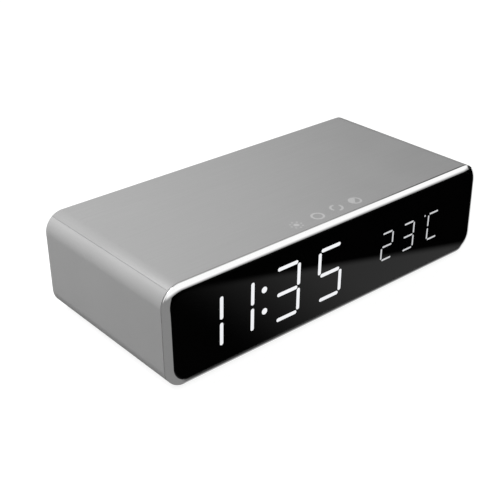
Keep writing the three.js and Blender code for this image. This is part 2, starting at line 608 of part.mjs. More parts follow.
// The chromed frame: a rim that slopes in to the lens, a rebate for the lens, and a spigot that
// plugs into the case.
function frontBezel() {
  const lensSide = LENS_INSET - GAP;
  const landFront = BEZEL_BACK - BEZEL_LAND;
  const slope = new THREE.Vector2(lensSide, FRONT - landFront);
  const outwards = new THREE.Vector2(slope.y, -slope.x).normalize();
  const rim = [[0, BEZEL_BACK]];
  for (let i = 0; i <= ARC_STEPS; i++) {
    const along = i / ARC_STEPS;
    const bow = 4 * BEZEL_CROWN * along * (1 - along);
    rim.push([slope.x * along + outwards.x * bow, landFront + slope.y * along + outwards.y * bow]);
  }
  const ring = sweepRoundCase([
    ...rim,
    [lensSide, LEDGE_FRONT],
    [OPENING_INSET, LEDGE_FRONT],
    [OPENING_INSET, SPIGOT_END],
    [SPIGOT_INSET, SPIGOT_END],
    [SPIGOT_INSET, BEZEL_BACK + RABBET_DEPTH],
    [RABBET_INSET, BEZEL_BACK + RABBET_DEPTH],
    [RABBET_INSET, BEZEL_BACK],
  ]);
  const bosses = displayScrewPlaces().map(([x, z]) => {
    const [inner, outer] = [REFLECTOR_HALF_WIDTH + GAP, CASE_WIDTH / 2 - OPENING_INSET + ROOT];
    const spanX = x < 0 ? [-outer, -inner] : [inner, outer];
    return block(spanX, [LEDGE_FRONT, DISPLAY_BOARD_FRONT - GAP], about(z, DISPLAY_BOSS_SIZE));
  });
  const holes = displayScrewPlaces().map(([x, z]) =>
    lengthwiseCylinder(
      SMALL_SCREW.shank + GAP,
      x,
      z,
      [DISPLAY_BOARD_FRONT - SMALL_SCREW.length, DISPLAY_BOARD_FRONT],
      SCREW_SIDES,
    ),
  );
  return piece("front_bezel", cut(join(ring, ...bosses), ...holes), FINISH.chrome);
}

// Sweeps a closed profile of [inset, y] points round the case's outline.
function sweepRoundCase(profile) {
  const positions = [];
  const triangles = [];
  const middle = (CASE_BOTTOM + CASE_TOP) / 2;
  const cornerX = CASE_WIDTH / 2 - CORNER_RADIUS;
  const cornerZ = CASE_HEIGHT / 2 - CORNER_RADIUS;
  const steps = 2 * ARC_STEPS;
  for (let corner = 0; corner < 4; corner++) {
    const sideX = corner === 0 || corner === 3 ? 1 : -1;
    const sideZ = corner < 2 ? 1 : -1;
    for (let step = 0; step <= steps; step++) {
      const turn = ((corner + step / steps) * Math.PI) / 2;
      for (const [inset, y] of profile) {
        const radius = CORNER_RADIUS - inset;
        positions.push(
          sideX * cornerX + radius * Math.cos(turn),
          y,
          middle + sideZ * cornerZ + radius * Math.sin(turn),
        );
      }
    }
  }
  const count = profile.length;
  const stations = 4 * (steps + 1);
  for (let station = 0; station < stations; station++) {
    const next = (station + 1) % stations;
    for (let i = 0; i < count; i++) {
      const j = (i + 1) % count;
      const [a, b] = [station * count + i, station * count + j];
      const [c, d] = [next * count + j, next * count + i];
      triangles.push(a, c, b, a, d, c);
    }
  }
  const geometry = new THREE.BufferGeometry();
  geometry.setAttribute("position", new THREE.Float32BufferAttribute(positions, 3));
  geometry.setIndex(triangles);
  return solid(geometry);
}

// The four screws that hold the display board to the bezel's bosses.
function displayScrewPlaces() {
  const x = DISPLAY_HALF_WIDTH - DISPLAY_BOSS_SIZE / 2;
  return [-x, x].flatMap((screwX) => [
    [screwX, DISPLAY_BOTTOM + DISPLAY_BOSS_INSET],
    [screwX, DISPLAY_TOP - DISPLAY_BOSS_INSET],
  ]);
}

function displayLens() {
  const body = insideCase(LENS_INSET, [LENS_FRONT, LENS_FRONT + LENS_THICKNESS]);
  return piece("display_lens", body, FINISH.blackGloss);
}

// Every stroke of a seven-segment figure, as [x, z, half length, upright] about its own middle.
function figureStrokes(width, height, stroke) {
  const [halfWidth, halfHeight] = [width / 2, height / 2];
  const endGap = stroke / 2 + STROKE_SIDE_GAP;
  const bar = halfWidth - endGap;
  const upright = (halfHeight - endGap - STROKE_SIDE_GAP) / 2;
  const uprightZ = endGap + upright;
  return [
    [0, halfHeight, bar, false],
    [0, 0, bar, false],
    [0, -halfHeight, bar, false],
    ...[-halfWidth, halfWidth].flatMap((x) => [
      [x, uprightZ, upright, true],
      [x, -uprightZ, upright, true],
    ]),
  ];
}

// Every stroke of the display: its middle, half length, direction and width.
function displayStrokes() {
  const left = -CASE_WIDTH / 2;
  const right = CASE_WIDTH / 2;
  const large = [DIGIT_Z, DIGIT_WIDTH, DIGIT_HEIGHT, DIGIT_STROKE];
  const smallZ = DIGIT_Z + SMALL_DIGIT_RISE;
  const small = [smallZ, SMALL_DIGIT_WIDTH, SMALL_DIGIT_HEIGHT, SMALL_DIGIT_STROKE];
  const figures = [
    ...DIGIT_FROM_LEFT.map((inset) => [left + inset, ...large]),
    ...SMALL_DIGIT_FROM_RIGHT.map((inset) => [right - inset, ...small]),
  ];
  const strokes = figures.flatMap(([middleX, middleZ, width, height, stroke]) =>
    figureStrokes(width, height, stroke).map(([x, z, half, upright]) => ({
      x: middleX + x + z * Math.tan(slant()),
      z: middleZ + z,
      half,
      upright,
      stroke,
    })),
  );
  const dots = [
    ...about(DIGIT_Z + COLON_RISE, COLON_SPREAD).map((z) => [left + COLON_FROM_LEFT, z, COLON_DOT]),
    [right - DEGREE_FROM_RIGHT, smallZ + SMALL_DIGIT_HEIGHT / 2, SMALL_DIGIT_STROKE],
  ];
  return [
    ...strokes,
    ...dots.map(([x, z, stroke]) => ({ x, z, half: stroke / 2, upright: false, stroke })),
  ];
}

const slant = () => THREE.MathUtils.degToRad(DIGIT_SLANT);

// A figure's stroke as a bar with round ends, run along y.
function strokeBar({ x, z, half, upright, stroke }, depths) {
  const straight = half - stroke / 2;
  const outline = new THREE.Shape();
  outline.absarc(straight, 0, stroke / 2, -Math.PI / 2, Math.PI / 2);
  outline.absarc(-straight, 0, stroke / 2, Math.PI / 2, 1.5 * Math.PI);
  const endSegments = straight > 0 && stroke < DIGIT_STROKE ? 1 : SMALL_ARC_STEPS;
  const turn = upright ? 90 - DIGIT_SLANT : 0;
  return runAlongY(outline, depths, endSegments).rotate([0, -turn, 0]).translate([x, 0, z]);
}

// The moulded block whose wells carry the light of one source each up to the film.
function digitReflector() {
  const body = block(
    about(0, 2 * REFLECTOR_HALF_WIDTH),
    [REFLECTOR_FRONT, REFLECTOR_BACK],
    [DISPLAY_BOTTOM, DISPLAY_TOP],
  );
  const through = [REFLECTOR_FRONT - PAST, REFLECTOR_BACK + PAST];
  const wells = displayStrokes().map((stroke) => strokeBar(stroke, through));
  return piece("digit_reflector", cut(body, ...wells), FINISH.whitePlastic);
}

function diffuserFilm() {
  const body = block(
    about(0, 2 * REFLECTOR_HALF_WIDTH),
    [LEDGE_FRONT, LEDGE_FRONT + FILM_THICKNESS],
    [DISPLAY_BOTTOM, DISPLAY_TOP],
  );
  return piece("diffuser_film", body, FINISH.film);
}

// Something soldered to the display board's rear face.
function onDisplayBoard({ x, z, width, height, depth }) {
  return block(
    about(x, width),
    [DISPLAY_BOARD_BACK - ROOT, DISPLAY_BOARD_BACK + depth],
    about(CASE_BOTTOM + z, height),
  );
}

// The clock's own board, with one light source for each well in front and its electronics behind.
function displayBoard() {
  const depths = [DISPLAY_BOARD_FRONT, DISPLAY_BOARD_BACK];
  const plate = insideCase(OPENING_INSET + GAP, depths).intersect(
    block(about(0, 2 * DISPLAY_HALF_WIDTH), depths, [DISPLAY_BOTTOM, DISPLAY_TOP]),
  );
  const sources = displayStrokes().map(({ x, z, half, upright, stroke }) => {
    const width = LED_WELL_SHARE * stroke;
    const length = Math.min(LED_LENGTH, 2 * LED_WELL_SHARE * half);
    const [sizeX, sizeZ] = upright ? [width, length] : [length, width];
    return block(
      about(x, sizeX),
      [DISPLAY_BOARD_FRONT - LED_HEIGHT, DISPLAY_BOARD_FRONT + ROOT],
      about(z, sizeZ),
    );
  });
  const behind = [
    { ...DISPLAY_CONNECTOR, x: displayCableX() },
    { ...CELL_CONNECTOR, x: contactX(-1) },
    TOUCH_CONNECTOR,
    CLOCK_CHIP,
  ].map(onDisplayBoard);
  const holes = displayScrewPlaces().map(([x, z]) =>
    lengthwiseCylinder(
      SMALL_SCREW.shank + GAP,
      x,
      z,
      [DISPLAY_BOARD_FRONT - PAST, DISPLAY_BOARD_BACK + PAST],
      SCREW_SIDES,
    ),
  );
  return piece("display_board", cut(join(plate, ...sources, ...behind), ...holes), FINISH.circuitBoard);
}

function sounder() {
  const { x, z, radius, depth, hole } = SOUNDER;
  const base = DISPLAY_BOARD_BACK + GAP;
  const can = lengthwiseCylinder(radius, x, CASE_BOTTOM + z, [base, base + depth]);
  const mouth = lengthwiseCylinder(
    hole,
    x,
    CASE_BOTTOM + z,
    [base + depth / 2, base + depth + PAST],
    SCREW_SIDES,
  );
  return piece("sounder", cut(can, mouth), FINISH.blackPlastic);
}

function touchBoard() {
  const body = block(
    about(0, TOUCH_WIDTH),
    [TOUCH_FRONT, TOUCH_FRONT + TOUCH_DEPTH],
    [TOUCH_BOARD_BOTTOM, TOUCH_BOARD_TOP],
  );
  return piece("touch_board", body, FINISH.circuitBoard);
}

function touchFoam() {
  const body = block(
    about(0, TOUCH_WIDTH),
    [TOUCH_FRONT, TOUCH_FRONT + TOUCH_DEPTH],
    [TOUCH_FOAM_BOTTOM, TOUCH_FOAM_BOTTOM + TOUCH_FOAM_THICKNESS],
  );
  return piece("touch_foam", body, FINISH.foam);
}

// A flat spiral from the inner radius outwards, both ends on the -X side.
class FlatSpiral extends THREE.Curve {
  getPoint(t, target = new THREE.Vector3()) {
    const turn = Math.PI + t * COIL_TURNS * 2 * Math.PI;
    const radius = COIL_INNER_RADIUS + t * COIL_TURNS * COIL_PITCH;
    return target.set(radius * Math.cos(turn), COIL_Y + radius * Math.sin(turn), COIL_Z);
  }
}

function chargingCoil() {
  const spiral = new FlatSpiral();
  const steps = COIL_TURNS * COIL_STEPS;
  spiral.arcLengthDivisions = steps * COIL_STEPS;
  return piece("charging_coil", wire(spiral, COIL_WIRE, steps), FINISH.copper);
}

function coilFerrite() {
  const plate = block(
    about(0, FERRITE_SIZE),
    about(COIL_Y, FERRITE_SIZE),
    [FERRITE_TOP - FERRITE_THICKNESS, FERRITE_TOP],
  );
  const hole = uprightCylinder(LEAD_HOLE, ...INNER_LEAD, [CARRIER_TOP, COIL_Z], SCREW_SIDES);
  return piece("coil_ferrite", cut(plate, hole), FINISH.ferrite);
}

// The tray that holds the ferrite and coil up against the cover, on four ears.
function coilCarrier() {
  const tray = cut(
    block(about(0, 2 * CARRIER_HALF), about(COIL_Y, 2 * CARRIER_HALF), [CARRIER_BOTTOM, FERRITE_TOP]),
    block(
      about(0, FERRITE_SIZE + 2 * GAP),
      about(COIL_Y, FERRITE_SIZE + 2 * GAP),
      [CARRIER_TOP, FERRITE_TOP + PAST],
    ),
  );
  const level = [CARRIER_BOTTOM, CARRIER_TOP];
  const arms = [-1, 1].map((side) =>
    block(
      about(0, 2 * CARRIER_EAR_REACH),
      about(COIL_Y + side * CARRIER_EAR_SPREAD, 2 * CARRIER_EAR_RADIUS),
      level,
    ),
  );
  const ears = carrierScrewPlaces().map(([x, y]) => uprightCylinder(CARRIER_EAR_RADIUS, x, y, level));
  const [leadX, leadY] = OUTER_LEAD;
  const lug = join(
    uprightCylinder(LEAD_HOLE + CARRIER_RIM, leadX, leadY, level),
    block([leadX, 0], about(leadY, 2 * (LEAD_HOLE + CARRIER_RIM)), level),
  );
  const through = [CARRIER_BOTTOM - PAST, CARRIER_TOP + PAST];
  return piece(
    "coil_carrier",
    cut(
      join(tray, ...arms, ...ears, lug),
      ...carrierScrewPlaces().map(([x, y]) =>
        uprightCylinder(CARRIER_SCREW.shank + GAP, x, y, through, SCREW_SIDES),
      ),
      uprightCylinder(LEAD_HOLE, ...INNER_LEAD, through, SCREW_SIDES),
      uprightCylinder(LEAD_HOLE, ...OUTER_LEAD, through, SCREW_SIDES),
    ),
    FINISH.whitePlastic,
  );
}

// A coil lead: it runs on from the coil's end, drops through a hole and ends over its terminal.
function coilLead(name, [startX, startY], [x, y], bend) {
  const end = CHARGER_BOARD_TOP + COIL_TERMINAL.height + GAP;
  const toHole = new THREE.Vector2(x - startX, y - startY);
  const reach = toHole.length() - bend / 2;
  toHole.normalize();
  const before = (distance) => [startX + toHole.x * distance, startY + toHole.y * distance];
  const points = [
    [startX, startY, COIL_Z],
    [...before(reach / 2), COIL_Z],
    [...before(reach), COIL_Z],
    [x, y, COIL_Z - bend],
    [x, y, CARRIER_BOTTOM - bend],
    [x, COIL_TERMINAL_Y, end + 2 * COIL_TERMINAL.height],
    [x, COIL_TERMINAL_Y, end],
  ];
  const places = points.map((point) => new THREE.Vector3(...point));
  const curve = new THREE.CatmullRomCurve3(places, false, "catmullrom", LEAD_TENSION);
  return piece(name, wire(curve, COIL_WIRE, LEAD_STEPS), FINISH.copper);
}

const LEAD_START = 2 * GAP; // from the coil's end to the lead's, along y

function innerCoilLead() {
  return coilLead("coil_lead_inner", [-COIL_INNER_RADIUS, COIL_Y + LEAD_START], INNER_LEAD, COIL_WIRE);
}

function outerCoilLead() {
  return coilLead("coil_lead_outer", [-COIL_OUTER_RADIUS, COIL_Y - LEAD_START], OUTER_LEAD, COIL_WIRE);
}

// A middle that is given from the charger board's left and front edges.
const onBoard = ({ x, y }) => [CHARGER_BOARD_LEFT + x, CHARGER_BOARD_FRONT + y];

function chargerBoard() {
  const plate = block(
    about(CHARGER_BOARD_X, CHARGER_BOARD_WIDTH),
    [CHARGER_BOARD_FRONT, CHARGER_BOARD_BACK],
    [CHARGER_BOARD_BOTTOM, CHARGER_BOARD_TOP],
  );
  const standing = (height) => [CHARGER_BOARD_TOP - ROOT, CHARGER_BOARD_TOP + height];
  const terminals = [INNER_LEAD, OUTER_LEAD].map(([x]) =>
    block(
      about(x, COIL_TERMINAL.width),
      about(COIL_TERMINAL_Y, COIL_TERMINAL.width),
      standing(COIL_TERMINAL.height),
    ),
  );
  const connector = block(
    about(displayCableX(), CHARGER_CONNECTOR.width),
    [CHARGER_BOARD_FRONT + GAP, CHARGER_BOARD_FRONT + GAP + CHARGER_CONNECTOR.depth],
    standing(CHARGER_CONNECTOR.height),
  );
  const [chipX, chipY] = onBoard(CHARGER_CHIP);
  const chip = block(
    about(chipX, CHARGER_CHIP.size),
    about(chipY, CHARGER_CHIP.size),
    standing(CHARGER_CHIP.height),
  );
  const holes = boardScrewPlaces().map(([x, y]) =>
    uprightCylinder(
      SMALL_SCREW.shank + GAP,
      x,
      y,
      [CHARGER_BOARD_BOTTOM - PAST, CHARGER_BOARD_TOP + PAST],
      SCREW_SIDES,
    ),
  );
  const populated = join(plate, ...terminals, connector, chip);
  return piece("charger_board", cut(populated, ...holes), FINISH.circuitBoard);
}

// The metal socket that a low-voltage supply plugs into, open at the rear with a tongue inside.
function powerInlet() {
  const corner = INLET_HEIGHT / 2 - INLET_WALL;
  const shell = (inset) =>
    roundedRectangle(INLET_WIDTH - 2 * inset, INLET_HEIGHT - 2 * inset, corner - inset);
  const mouth = REAR_COVER_BACK - INLET_POCKET;
  const inner = mouth - INLET_LENGTH;
  const body = join(
    cut(
      runAlongY(shell(0), [inner, mouth], SMALL_ARC_STEPS),
      runAlongY(shell(INLET_WALL), [inner + 2 * INLET_WALL, mouth + PAST], SMALL_ARC_STEPS),
    ),
    block(about(0, INLET_TONGUE_WIDTH), [inner, mouth - 2 * INLET_WALL], about(0, INLET_TONGUE)),
  );
  return piece("power_inlet", body.translate([CHARGER_BOARD_X, 0, INLET_Z]), FINISH.steel);
}

// A closed solid of revolution about +Z from [radius, height] points that start and end on the axis.
function turned(profile, sides = ROUND_SIDES) {
  const points = profile.map(([radius, height]) => new THREE.Vector2(radius, height));
  return solid(new THREE.LatheGeometry(points, sides).rotateX(Math.PI / 2));
}

// The wound drum core, with its flanges.
function powerInductor() {
  const { radius, height, flange, waist } = INDUCTOR;
  const body = turned([
    [0, 0],
    [radius, 0],
    [radius, flange],
    [waist, flange],
    [waist, height - flange],
    [radius, height - flange],
    [radius, height],
    [0, height],
  ]);
  const place = [...onBoard(INDUCTOR), CHARGER_BOARD_TOP + GAP];
  return piece("power_inductor", body.translate(place), FINISH.ferrite);
}

// Aluminium cans, each with the groove that holds its seal.
function smoothingCapacitors() {
  const { x, radius, height, groove } = SMOOTHING_CAPACITOR;
  return SMOOTHING_CAPACITOR.y.map((y, i) => {
    const body = turned([
      [0, 0],
      [radius, 0],
      [radius, groove],
      [radius - groove, 2 * groove],
      [radius, 3 * groove],
      [radius, height - groove],
      [radius - groove, height],
      [0, height],
    ]);
    const place = [...onBoard({ x, y }), CHARGER_BOARD_TOP + GAP];
    return piece(`smoothing_capacitor_${i + 1}`, body.translate(place), FINISH.steel);
  });
}

// Boxed film capacitors of the coil's resonance circuit.
function resonanceCapacitors() {
  const { x, width, depth, height, corner } = RESONANCE_CAPACITOR;
  return RESONANCE_CAPACITOR.y.map((y, i) => {
    const geometry = new THREE.ExtrudeGeometry(roundedRectangle(width, depth, corner), {
      depth: height,
      bevelEnabled: false,
      curveSegments: 1,
    });
    const place = [...onBoard({ x, y }), CHARGER_BOARD_TOP + GAP];
    return piece(`resonance_capacitor_${i + 1}`, solid(geometry).translate(place), FINISH.capacitorFilm);
  });
}

// A bead on two stiff leads that hold it behind the rear cover's slots.
function temperatureSensor() {
  const { bead, lead, spacing, setback } = SENSOR;
  const y = CHARGER_BOARD_BACK - setback;
  const z = CASE_BOTTOM + VENT_Z;
  const geometry = new THREE.SphereGeometry(bead, SCREW_SIDES, SCREW_SIDES / 2);
  const head = solid(geometry.rotateX(Math.PI / 2).translate(VENT_X, y, z));
  const leads = [-1, 1].map((side) =>
    uprightCylinder(lead, VENT_X + (side * spacing) / 2, y, [CHARGER_BOARD_TOP + GAP, z], SCREW_SIDES),
  );
  return piece("temperature_sensor", join(head, ...leads), FINISH.blackPlastic);
}

// The plate that closes the rear, with the inlet's pocket and the slots of the temperature sensor.
function rearCover() {
  const depths = [REAR_COVER_FRONT, REAR_COVER_BACK];
  const through = [REAR_COVER_FRONT - PAST, REAR_COVER_BACK + PAST];
  const pocketWidth = INLET_WIDTH + 2 * INLET_POCKET_MARGIN;
  const pocketHeight = INLET_HEIGHT + 2 * INLET_POCKET_MARGIN;
  const pocket = runAlongY(
    roundedRectangle(pocketWidth, pocketHeight, INLET_POCKET_MARGIN),
    [REAR_COVER_BACK - INLET_POCKET, REAR_COVER_BACK + PAST],
    SMALL_ARC_STEPS,
  ).translate([CHARGER_BOARD_X, 0, INLET_Z]);
  const mouth = runAlongY(
    roundedRectangle(INLET_WIDTH + 2 * GAP, INLET_HEIGHT + 2 * GAP, INLET_HEIGHT / 2),
    through,
    SMALL_ARC_STEPS,
  ).translate([CHARGER_BOARD_X, 0, INLET_Z]);
  const slots = Array.from({ length: VENT_SLOTS }, (_, i) => {
    const x = VENT_X + (i - (VENT_SLOTS - 1) / 2) * VENT_PITCH;
    return block(about(x, VENT_SLOT_WIDTH), through, about(CASE_BOTTOM + VENT_Z, VENT_SLOT_HEIGHT));
  });
  const sinkTop = REAR_COVER_BACK - SMALL_SCREW.headHeight;
  const screwHoles = [-1, 1].flatMap((side) => [
    lengthwiseCylinder(SMALL_SCREW.shank + GAP, side * rearScrewX(), REAR_SCREW_Z, through, SCREW_SIDES),
    lengthwiseCylinder(
      SMALL_SCREW.head + GAP,
      side * rearScrewX(),
      REAR_SCREW_Z,
      [sinkTop, REAR_COVER_BACK + PAST],
    ),
  ]);
  return piece(
    "rear_cover",
    cut(insideCase(CASE_WALL + SLIDE_GAP, depths), pocket, mouth, ...slots, ...screwHoles),
    FINISH.greyPlastic,
  );
}

// The cup over the coin cell, hung by its flange on the battery bay's walls.
function cellHolder() {
  const cup = block(
    about(BAY_X, 2 * HOLDER_HALF_WIDTH),
    about(CELL_Y, HOLDER_LENGTH),
    [CELL_BOTTOM - GAP, HOLDER_TOP],
  );
  const flange = block(
    about(BAY_X, 2 * (HOLDER_SCREW_X + SMALL_SCREW.head)),
    about(CELL_Y, 2 * CELL_RADIUS),
    [HOLDER_FLANGE_BOTTOM, HOLDER_TOP],
  );
  const pocket = uprightCylinder(
    CELL_RADIUS + GAP,
    BAY_X,
    CELL_Y,
    [CELL_BOTTOM - PAST, HOLDER_ROOF_BOTTOM],
    WIDE_SIDES,
  );
  const tagSlots = [-1, 1].map((side) =>
    block(
      about(contactX(side), CONTACT_WIDTH + 2 * GAP),
      about(contactTagY(side), CONTACT_THICKNESS + 2 * GAP),
      [CELL_BOTTOM - PAST, HOLDER_TOP + PAST],
    ),
  );
  const screwHoles = holderScrewPlaces().map(([x, y]) =>
    uprightCylinder(
      SMALL_SCREW.shank + GAP,
      x,
      y,
      [HOLDER_FLANGE_BOTTOM - PAST, HOLDER_TOP + PAST],
      SCREW_SIDES,
    ),
  );
  const body = cut(join(cup, flange), pocket, ...tagSlots, ...screwHoles);
  return piece("cell_holder", body, FINISH.blackPlastic);
}

// The contacts stand on either side of the cell's middle, the left one negative.
const contactX = (side) => BAY_X + (side * CELL_RADIUS) / 2;

// The right contact stands beside the cell's rim, the left one over its middle.
function contactTagY(side) {
  const innerEdge = CELL_RADIUS / 2 - CONTACT_WIDTH / 2;
  const rim = Math.sqrt(CELL_RADIUS ** 2 - innerEdge ** 2);
  return side < 0 ? CELL_Y : CELL_Y + rim + GAP + CONTACT_THICKNESS / 2;
}

// The sprung strip that lies over the cell's upper face.
function negativeContact() {
  const y = contactTagY(-1);
  const roof = HOLDER_ROOF_BOTTOM - GAP - CONTACT_THICKNESS / 2;
  const touch = CELL_TOP + GAP + CONTACT_THICKNESS / 2;
  const path = [
    [y, HOLDER_TOP + CONTACT_TAG],
    [y, roof],
    [y - CELL_RADIUS / 3, touch],
    [y - CELL_RADIUS / 2, touch],
  ];
  const body = strip(path, CONTACT_THICKNESS, contactX(-1), CONTACT_WIDTH);
  return piece("cell_contact_negative", body, FINISH.steel);
}

// The upright strip that bears on the cell's rim.
function positiveContact() {
  const y = contactTagY(1);
  const path = [
    [y, CELL_BOTTOM + GAP],
    [y, HOLDER_TOP + CONTACT_TAG],
  ];
  const body = strip(path, CONTACT_THICKNESS, contactX(1), CONTACT_WIDTH);
  return piece("cell_contact_positive", body, FINISH.steel);
}

function coinCell() {
  const body = turned(
    [
      [0, 0],
      [CELL_RADIUS - CELL_CRIMP, 0],
      [CELL_RADIUS, CELL_CRIMP],
      [CELL_RADIUS, CELL_THICKNESS - 2 * CELL_CRIMP],
      [CELL_RADIUS - 2 * CELL_CRIMP, CELL_THICKNESS - CELL_CRIMP],
      [CELL_RADIUS - 3 * CELL_CRIMP, CELL_THICKNESS],
      [0, CELL_THICKNESS],
    ],
    WIDE_SIDES,
  );
  return piece("coin_cell", body.translate([BAY_X, CELL_Y, CELL_BOTTOM]), FINISH.steel);
}

// The door under the coin cell: a tongue at its front edge hooks over the floor, and a latch stands
// at its rear edge.
function batteryDoor() {
  const plate = block(about(BAY_X, DOOR_WIDTH), [HINGE_Y, DOOR_REAR], [CASE_BOTTOM, DOOR_TOP]);
  const tongueBottom = FLOOR + GAP;
  const tongueTop = tongueBottom + DOOR_TONGUE_THICKNESS;
  const riser = block(
    about(BAY_X, DOOR_TONGUE_WIDTH),
    [HINGE_Y, HINGE_Y + DOOR_TONGUE_THICKNESS],
    [DOOR_TOP - ROOT, tongueTop],
  );
  const tongue = block(
    about(BAY_X, DOOR_TONGUE_WIDTH),
    [HINGE_Y - DOOR_TONGUE_REACH, HINGE_Y + DOOR_TONGUE_THICKNESS],
    [tongueBottom, tongueTop],
  );
  const latchBack = DOOR_REAR - DOOR_LATCH_SETBACK;
  const latchFront = latchBack - DOOR_LATCH_THICKNESS;
  const latchTop = DOOR_TOP + DOOR_LATCH_HEIGHT;
  const latch = new THREE.Shape(
    [
      [latchFront, DOOR_TOP - ROOT],
      [latchBack, DOOR_TOP - ROOT],
      [latchBack, latchTop - 4 * DOOR_BARB],
      [latchBack + DOOR_BARB, latchTop - 2 * DOOR_BARB],
      [latchBack, latchTop],
      [latchFront, latchTop],
    ].map(([y, z]) => new THREE.Vector2(y, z)),
  );
  return piece(
    "battery_door",
    cut(join(plate, riser, tongue, runAlongX(latch, about(BAY_X, DOOR_LATCH_WIDTH))), fingerNotch()),
    FINISH.greyPlastic,
  );
}

// A shallow round-bottomed groove across the door's outer face, for a fingertip.
function fingerNotch() {
  const { length, radius, depth, fromRear } = DOOR_NOTCH;
  const geometry = new THREE.CylinderGeometry(radius, radius, length, 2 * WIDE_SIDES);
  const level = CASE_BOTTOM + depth - radius;
  return solid(geometry.rotateZ(Math.PI / 2).translate(BAY_X, DOOR_REAR - fromRear, level));
}

// A flat cable's path through places in y and z: straight at both ends and smooth between them.
function cablePath(places) {
  const between = places.slice(1, -1);
  const curve = new THREE.SplineCurve(between.map(([y, z]) => new THREE.Vector2(y, z)));
  const smooth = curve.getPoints(CABLE_STEPS * (between.length - 1)).map((point) => [point.x, point.y]);
  return [places[0], ...smooth, places[places.length - 1]];
}

// The display cable runs straight back, over the charger board's connector.
const displayCableX = () => CHARGER_BOARD_LEFT + CHARGER_CONNECTOR.x;

// The flat cable from the display board's connector back to the charger board's.
function displayCable() {
  const start = DISPLAY_BOARD_BACK + DISPLAY_CONNECTOR.depth + GAP;
  const z = CASE_BOTTOM + DISPLAY_CONNECTOR.z;
  const end = CHARGER_BOARD_FRONT + GAP + CHARGER_CONNECTOR.depth / 2;
  const endZ = CHARGER_BOARD_TOP + CHARGER_CONNECTOR.height + GAP;
  const rise = CHARGER_CONNECTOR.height;
  const path = cablePath([
    [start, z],
    [start + rise, z],
    [(start + end) / 2, z + rise],
    [end, endZ + rise],
    [end, endZ],
  ]);
  const body = strip(path, CABLE_THICKNESS, displayCableX(), DISPLAY_CABLE_WIDTH);
  return piece("display_cable", body, FINISH.cable);
}

// The short cable from the touch board's rear edge to the display board.
function touchCable() {
  const start = TOUCH_FRONT + TOUCH_DEPTH + GAP;
  const z = (TOUCH_BOARD_BOTTOM + TOUCH_BOARD_TOP) / 2;
  const end = DISPLAY_BOARD_BACK + TOUCH_CONNECTOR.depth + GAP;
  const endZ = CASE_BOTTOM + TOUCH_CONNECTOR.z;
  const bow = Math.max(start, end) + TOUCH_CONNECTOR.depth;
  const path = cablePath([
    [start, z],
    [start + 2 * CABLE_THICKNESS, z],
    [bow, (z + endZ) / 2],
    [end + 2 * CABLE_THICKNESS, endZ],
    [end, endZ],
  ]);
  const body = strip(path, CABLE_THICKNESS, TOUCH_CONNECTOR.x, TOUCH_CABLE_WIDTH);
  return piece("touch_cable", body, FINISH.cable);
}

// The cable that carries the cell's current to the display board.
function cellCable() {
  const start = contactTagY(-1) - GAP - CONTACT_THICKNESS / 2;
  const z = HOLDER_TOP + 2 * CABLE_THICKNESS;
  const end = DISPLAY_BOARD_BACK + CELL_CONNECTOR.depth + GAP;
  const endZ = CASE_BOTTOM + CELL_CONNECTOR.z;
  const path = cablePath([
    [start, z],
    [start - CELL_CONNECTOR.depth, z],
    [(start + end) / 2, (z + endZ) / 2 + CELL_CONNECTOR.depth / 2],
    [end + CELL_CONNECTOR.depth / 2, endZ],
    [end, endZ],
  ]);
  return piece("cell_cable", strip(path, CABLE_THICKNESS, contactX(-1), CELL_CABLE_WIDTH), FINISH.cable);
}

// A pan-head screw along +Z, its head's underside at the origin and its shank going up.
function screw(name, { head, headHeight, shank, length }) {
  const body = turned(
    [
      [0, -headHeight],
      [SCREW_CROWN * head, -headHeight],
      [head, -headHeight / 2],
      [head, 0],
      [shank, 0],
      [shank, length - shank],
      [0, length],
    ],
    SCREW_SIDES,
  );
  return piece(name, body, FINISH.steel);
}

// Like screws in a row of places, each turned the same way.
function screws(name, size, places, turn) {
  return places.map(([x, y, z], i) => {
    const one = screw(`${name}_${i + 1}`, size);
    one.position.set(x, y, z);
    one.rotation.set(turn, 0, 0);
    return one;
  });
}

const UP = 0;
const DOWN = Math.PI;
const FORWARDS = Math.PI / 2;

function fasteners() {
  const seat = (level) => (place) => [place[0], place[1], level];
  return [
    ...screws(
      "case_screw",
      CASE_SCREW,
      caseScrewPlaces().map(seat(CASE_BOTTOM + CASE_SCREW_SINK - GAP)),
      UP,
    ),
    ...screws("carrier_screw", CARRIER_SCREW, carrierScrewPlaces().map(seat(CARRIER_BOTTOM - GAP)), UP),
    ...screws("board_screw", SMALL_SCREW, boardScrewPlaces().map(seat(CHARGER_BOARD_TOP + GAP)), DOWN),
    ...screws("holder_screw", SMALL_SCREW, holderScrewPlaces().map(seat(HOLDER_TOP + GAP)), DOWN),
    ...screws(
      "display_screw",
      SMALL_SCREW,
      displayScrewPlaces().map(([x, z]) => [x, DISPLAY_BOARD_BACK + GAP, z]),
      FORWARDS,
    ),
    ...screws(
      "rear_screw",
      SMALL_SCREW,
      [-1, 1].map((side) => [
        side * rearScrewX(),
        REAR_COVER_BACK - SMALL_SCREW.headHeight + GAP,
        REAR_SCREW_Z,
      ]),
      FORWARDS,
    ),
  ];
}

// Rubber discs pressed into the underside.
function feet() {
  const height = FOOT_PROUD + FOOT_RECESS - GAP;
  return footPlaces().map(([x, y], i) => {
    const body = turned([
      [0, 0],
      [FOOT_RADIUS - FOOT_CHAMFER, 0],
      [FOOT_RADIUS, FOOT_CHAMFER],
      [FOOT_RADIUS, height],
      [0, height],
    ]);
    const foot = piece(`foot_${i + 1}`, body, FINISH.rubber);
    foot.position.set(x, y, 0);
    return foot;
  });
}

const clock = new THREE.Group();

const housing = new THREE.Group();
housing.add(topCover(), lowerCase(), rearCover(), frontBezel(), displayLens(), ...feet());

